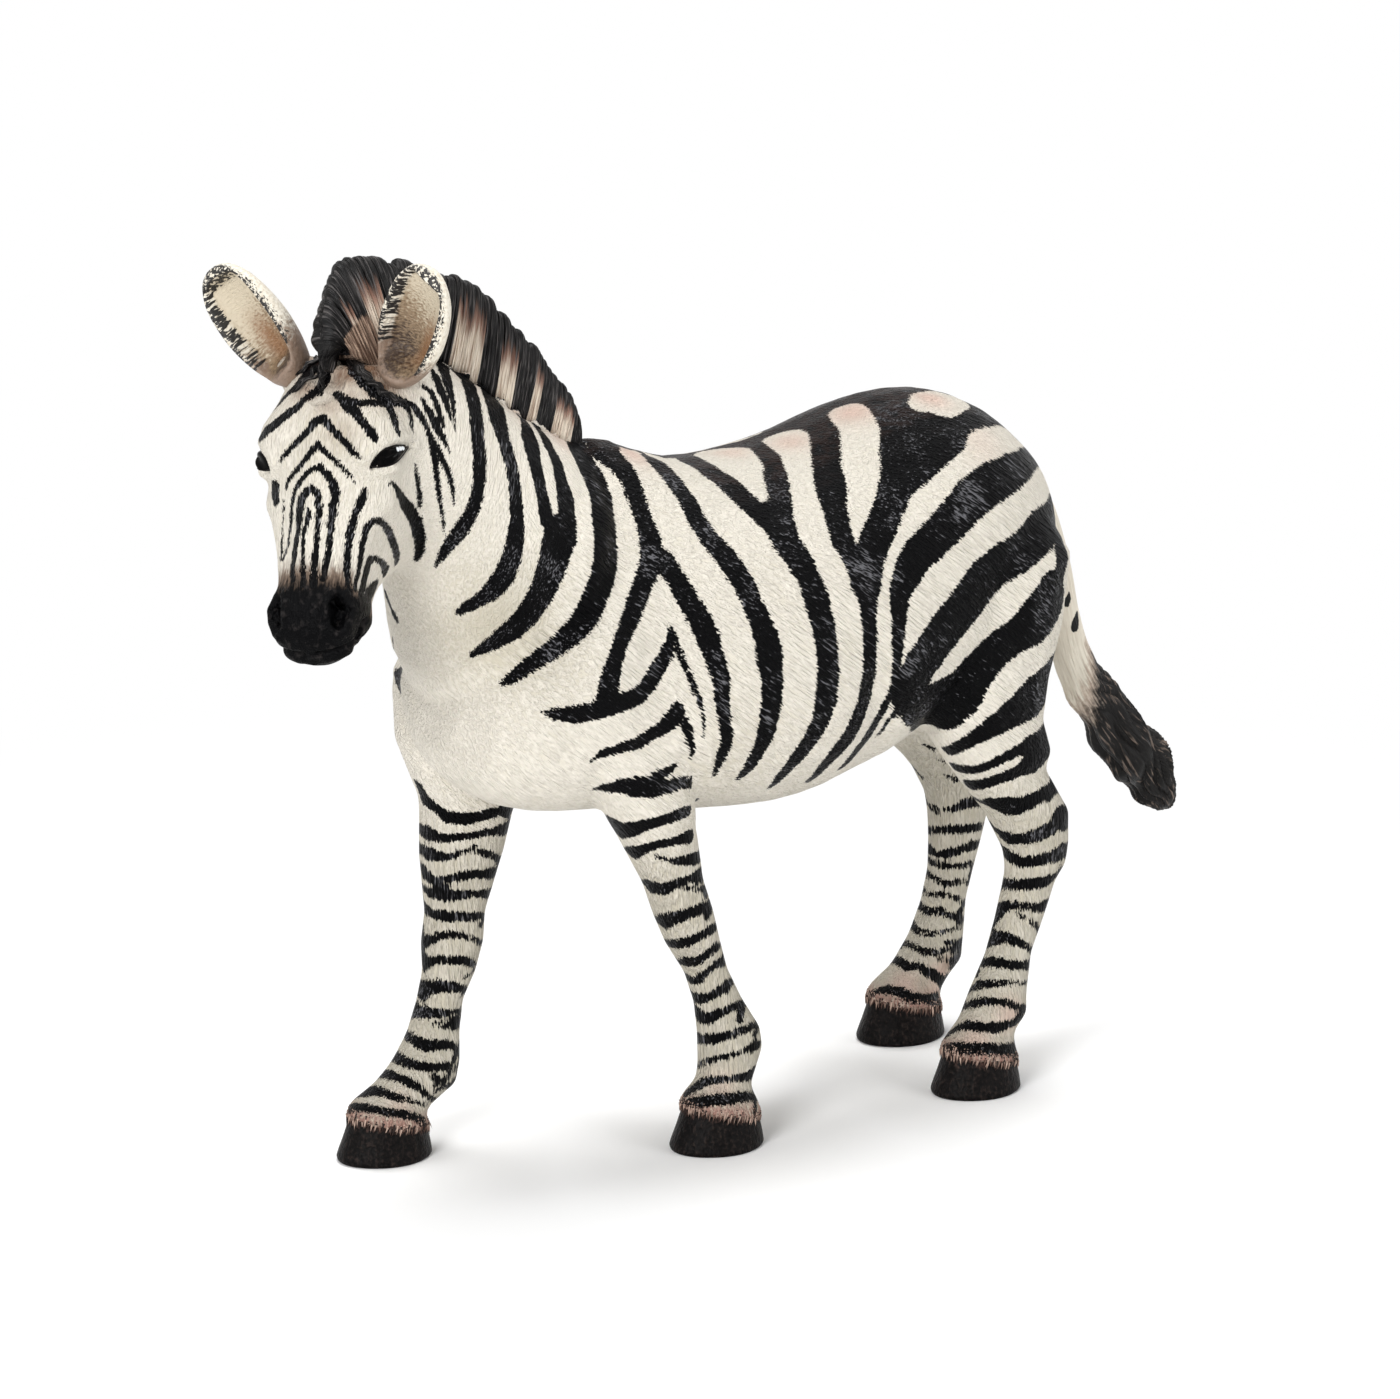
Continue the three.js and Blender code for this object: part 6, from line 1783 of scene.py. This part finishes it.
def make_eye(name, edge, facing, glints, eye_material, lid_material):
    """A domed glossy eye within its outline, and the dark line of the lids around it."""
    middle = edge.mean(0)
    edge = middle + (edge - middle) * EYE_SIZE
    rings = [middle + (edge - middle) * math.sin(t) + facing * (EYE_DOME * math.cos(t) - 0.2)
             for t in np.linspace(math.pi / 2, 0.05, EYE_RINGS)]
    rings.insert(0, rings[0] - facing * 0.8)
    points, faces = wrapped(np.array(rings))
    flat = [(points - g) - ((points - g) @ facing)[:, None] * facing for g in glints]
    glint = np.max([np.exp(-(np.linalg.norm(f, axis=1) / GLINT_SIZE) ** 2) for f in flat], axis=0)
    made_piece(name + "_eyeball", points, faces, eye_material, "black_paint", glint=glint)
    count = len(edge)
    way = unit(np.roll(edge, -1, 0) - np.roll(edge, 1, 0))
    out = np.cross(way, facing)
    tube = []
    for angle in np.linspace(0, 2 * math.pi, 9)[:-1]:
        tube.append(edge + LID_SIZE * (out * math.cos(angle) + facing * math.sin(angle)))
    tube = np.array(tube).transpose(1, 0, 2)
    rows = tube.shape[1]
    points = tube.reshape(-1, 3)
    faces = [(r * rows + k, r * rows + (k + 1) % rows,
              ((r + 1) % count) * rows + (k + 1) % rows, ((r + 1) % count) * rows + k)
             for r in range(count) for k in range(rows)]
    a = points[faces[0][0]]
    normal = np.cross(points[faces[0][1]] - a, points[faces[0][3]] - a)
    if normal @ (a - edge[0]) < 0:
        faces = [f[::-1] for f in faces]
    made_piece(name + "_lid", points, faces, lid_material, "black_paint")


eye_material, lid_material = eye_paint(), lid_paint()
glints = np.array([head.under(*p)[0] for p in GLINTS]) + VIEW_BACK * EYE_DOME * 0.6
make_eye("left", eye_edge, eye_facing, glints, eye_material, lid_material)
make_eye("right", far_eye_edge, far_eye_facing, across_head(glints), eye_material, lid_material)


# Studio

# Lamps: place and size in m, and power
LAMPS = {
    "key": ((-0.8, -0.42, 0.44), 0.4, 7.2),
    "fill": ((0.35, -0.8, 0.35), 0.6, 3.1),
    "top": ((0.1, 0.15, 0.8), 0.5, 5.2),
}
LAMP_AIM = Vector((0, 0, 0.045))
# How bright the sky is for the object's own light, where the camera sees it as 1
SKY_LIGHT = 0.27
WHITE = (1, 1, 1, 1)
# Half the floor's side, and how far from a hoof and from the middle its shadow fades, in m
FLOOR_REACH, HOOF_SHADOW, FLOOR_SHADOW = 2.5, (0.01, 0.032), (0.05, 0.16)


def set_camera():
    data = bpy.data.cameras.new("camera")
    data.sensor_width, data.sensor_fit = SENSOR_WIDTH, "HORIZONTAL"
    data.lens = FOCAL_PIXELS * SENSOR_WIDTH / PHOTO_WIDTH
    data.clip_start, data.clip_end = 0.01, 10
    camera = in_scene("camera", data)
    turn = Matrix((VIEW_RIGHT, VIEW_UP, VIEW_BACK)).transposed()
    camera.matrix_world = Matrix.Translation(Vector(VIEWPOINT) * MM) @ turn.to_4x4()
    SCENE.camera = camera


def set_light():
    sky = Paint("studio", "worlds")
    bright = sky.node("ShaderNodeMapRange", {}, {"Value": sky.seen(), "To Min": SKY_LIGHT,
                                                 "To Max": 1.0})
    glow = sky.node("ShaderNodeBackground", {}, {"Color": WHITE, "Strength": bright})
    SCENE.world = sky.shown(glow, "ShaderNodeOutputWorld")
    for name, (place, size, power) in LAMPS.items():
        data = bpy.data.lights.new(name, "AREA")
        data.shape, data.size, data.energy = "DISK", size, power
        lamp = in_scene(name, data)
        lamp.location = place
        lamp.rotation_euler = (LAMP_AIM - lamp.location).to_track_quat("-Z", "Y").to_euler()


def floor_paint():
    """White floor that takes the shadow by the hooves and is plain white away from them."""
    p = Paint("studio_floor")
    matt = p.node("ShaderNodeBsdfDiffuse", {}, {"Color": WHITE})
    glow = p.node("ShaderNodeEmission", {}, {"Color": WHITE, "Strength": 1})
    place = p.place()
    away = p.node("ShaderNodeVectorMath", {"operation": "LENGTH"}, {0: place}, "Value")
    near = None
    for x, y, *_ in HOOF_ROWS.values():
        hoof = tuple((np.array((x, y, 0)) - MIDDLE_SHIFT) * MM)
        gap = p.node("ShaderNodeVectorMath", {"operation": "DISTANCE"}, {0: place, 1: hoof},
                     "Value")
        near = gap if near is None else p.node("ShaderNodeMath", {"operation": "MINIMUM"},
                                               {0: near, 1: gap})
    clear = near.over(*HOOF_SHADOW) * 0.6
    share = p.seen() * (clear + (1 - clear) * away.over(*FLOOR_SHADOW))
    return p.shown(p.node("ShaderNodeMixShader", {}, {0: share, 1: matt, 2: glow}))


def set_floor():
    mesh = bpy.data.meshes.new("floor")
    mesh.from_pydata([(x * FLOOR_REACH, y * FLOOR_REACH, 0)
                      for x, y in ((-1, -1), (1, -1), (1, 1), (-1, 1))], [], [(0, 1, 2, 3)])
    mesh.materials.append(floor_paint())
    in_scene("floor", mesh)


set_camera()
set_light()
set_floor()
SCENE.view_settings.view_transform = "Standard"
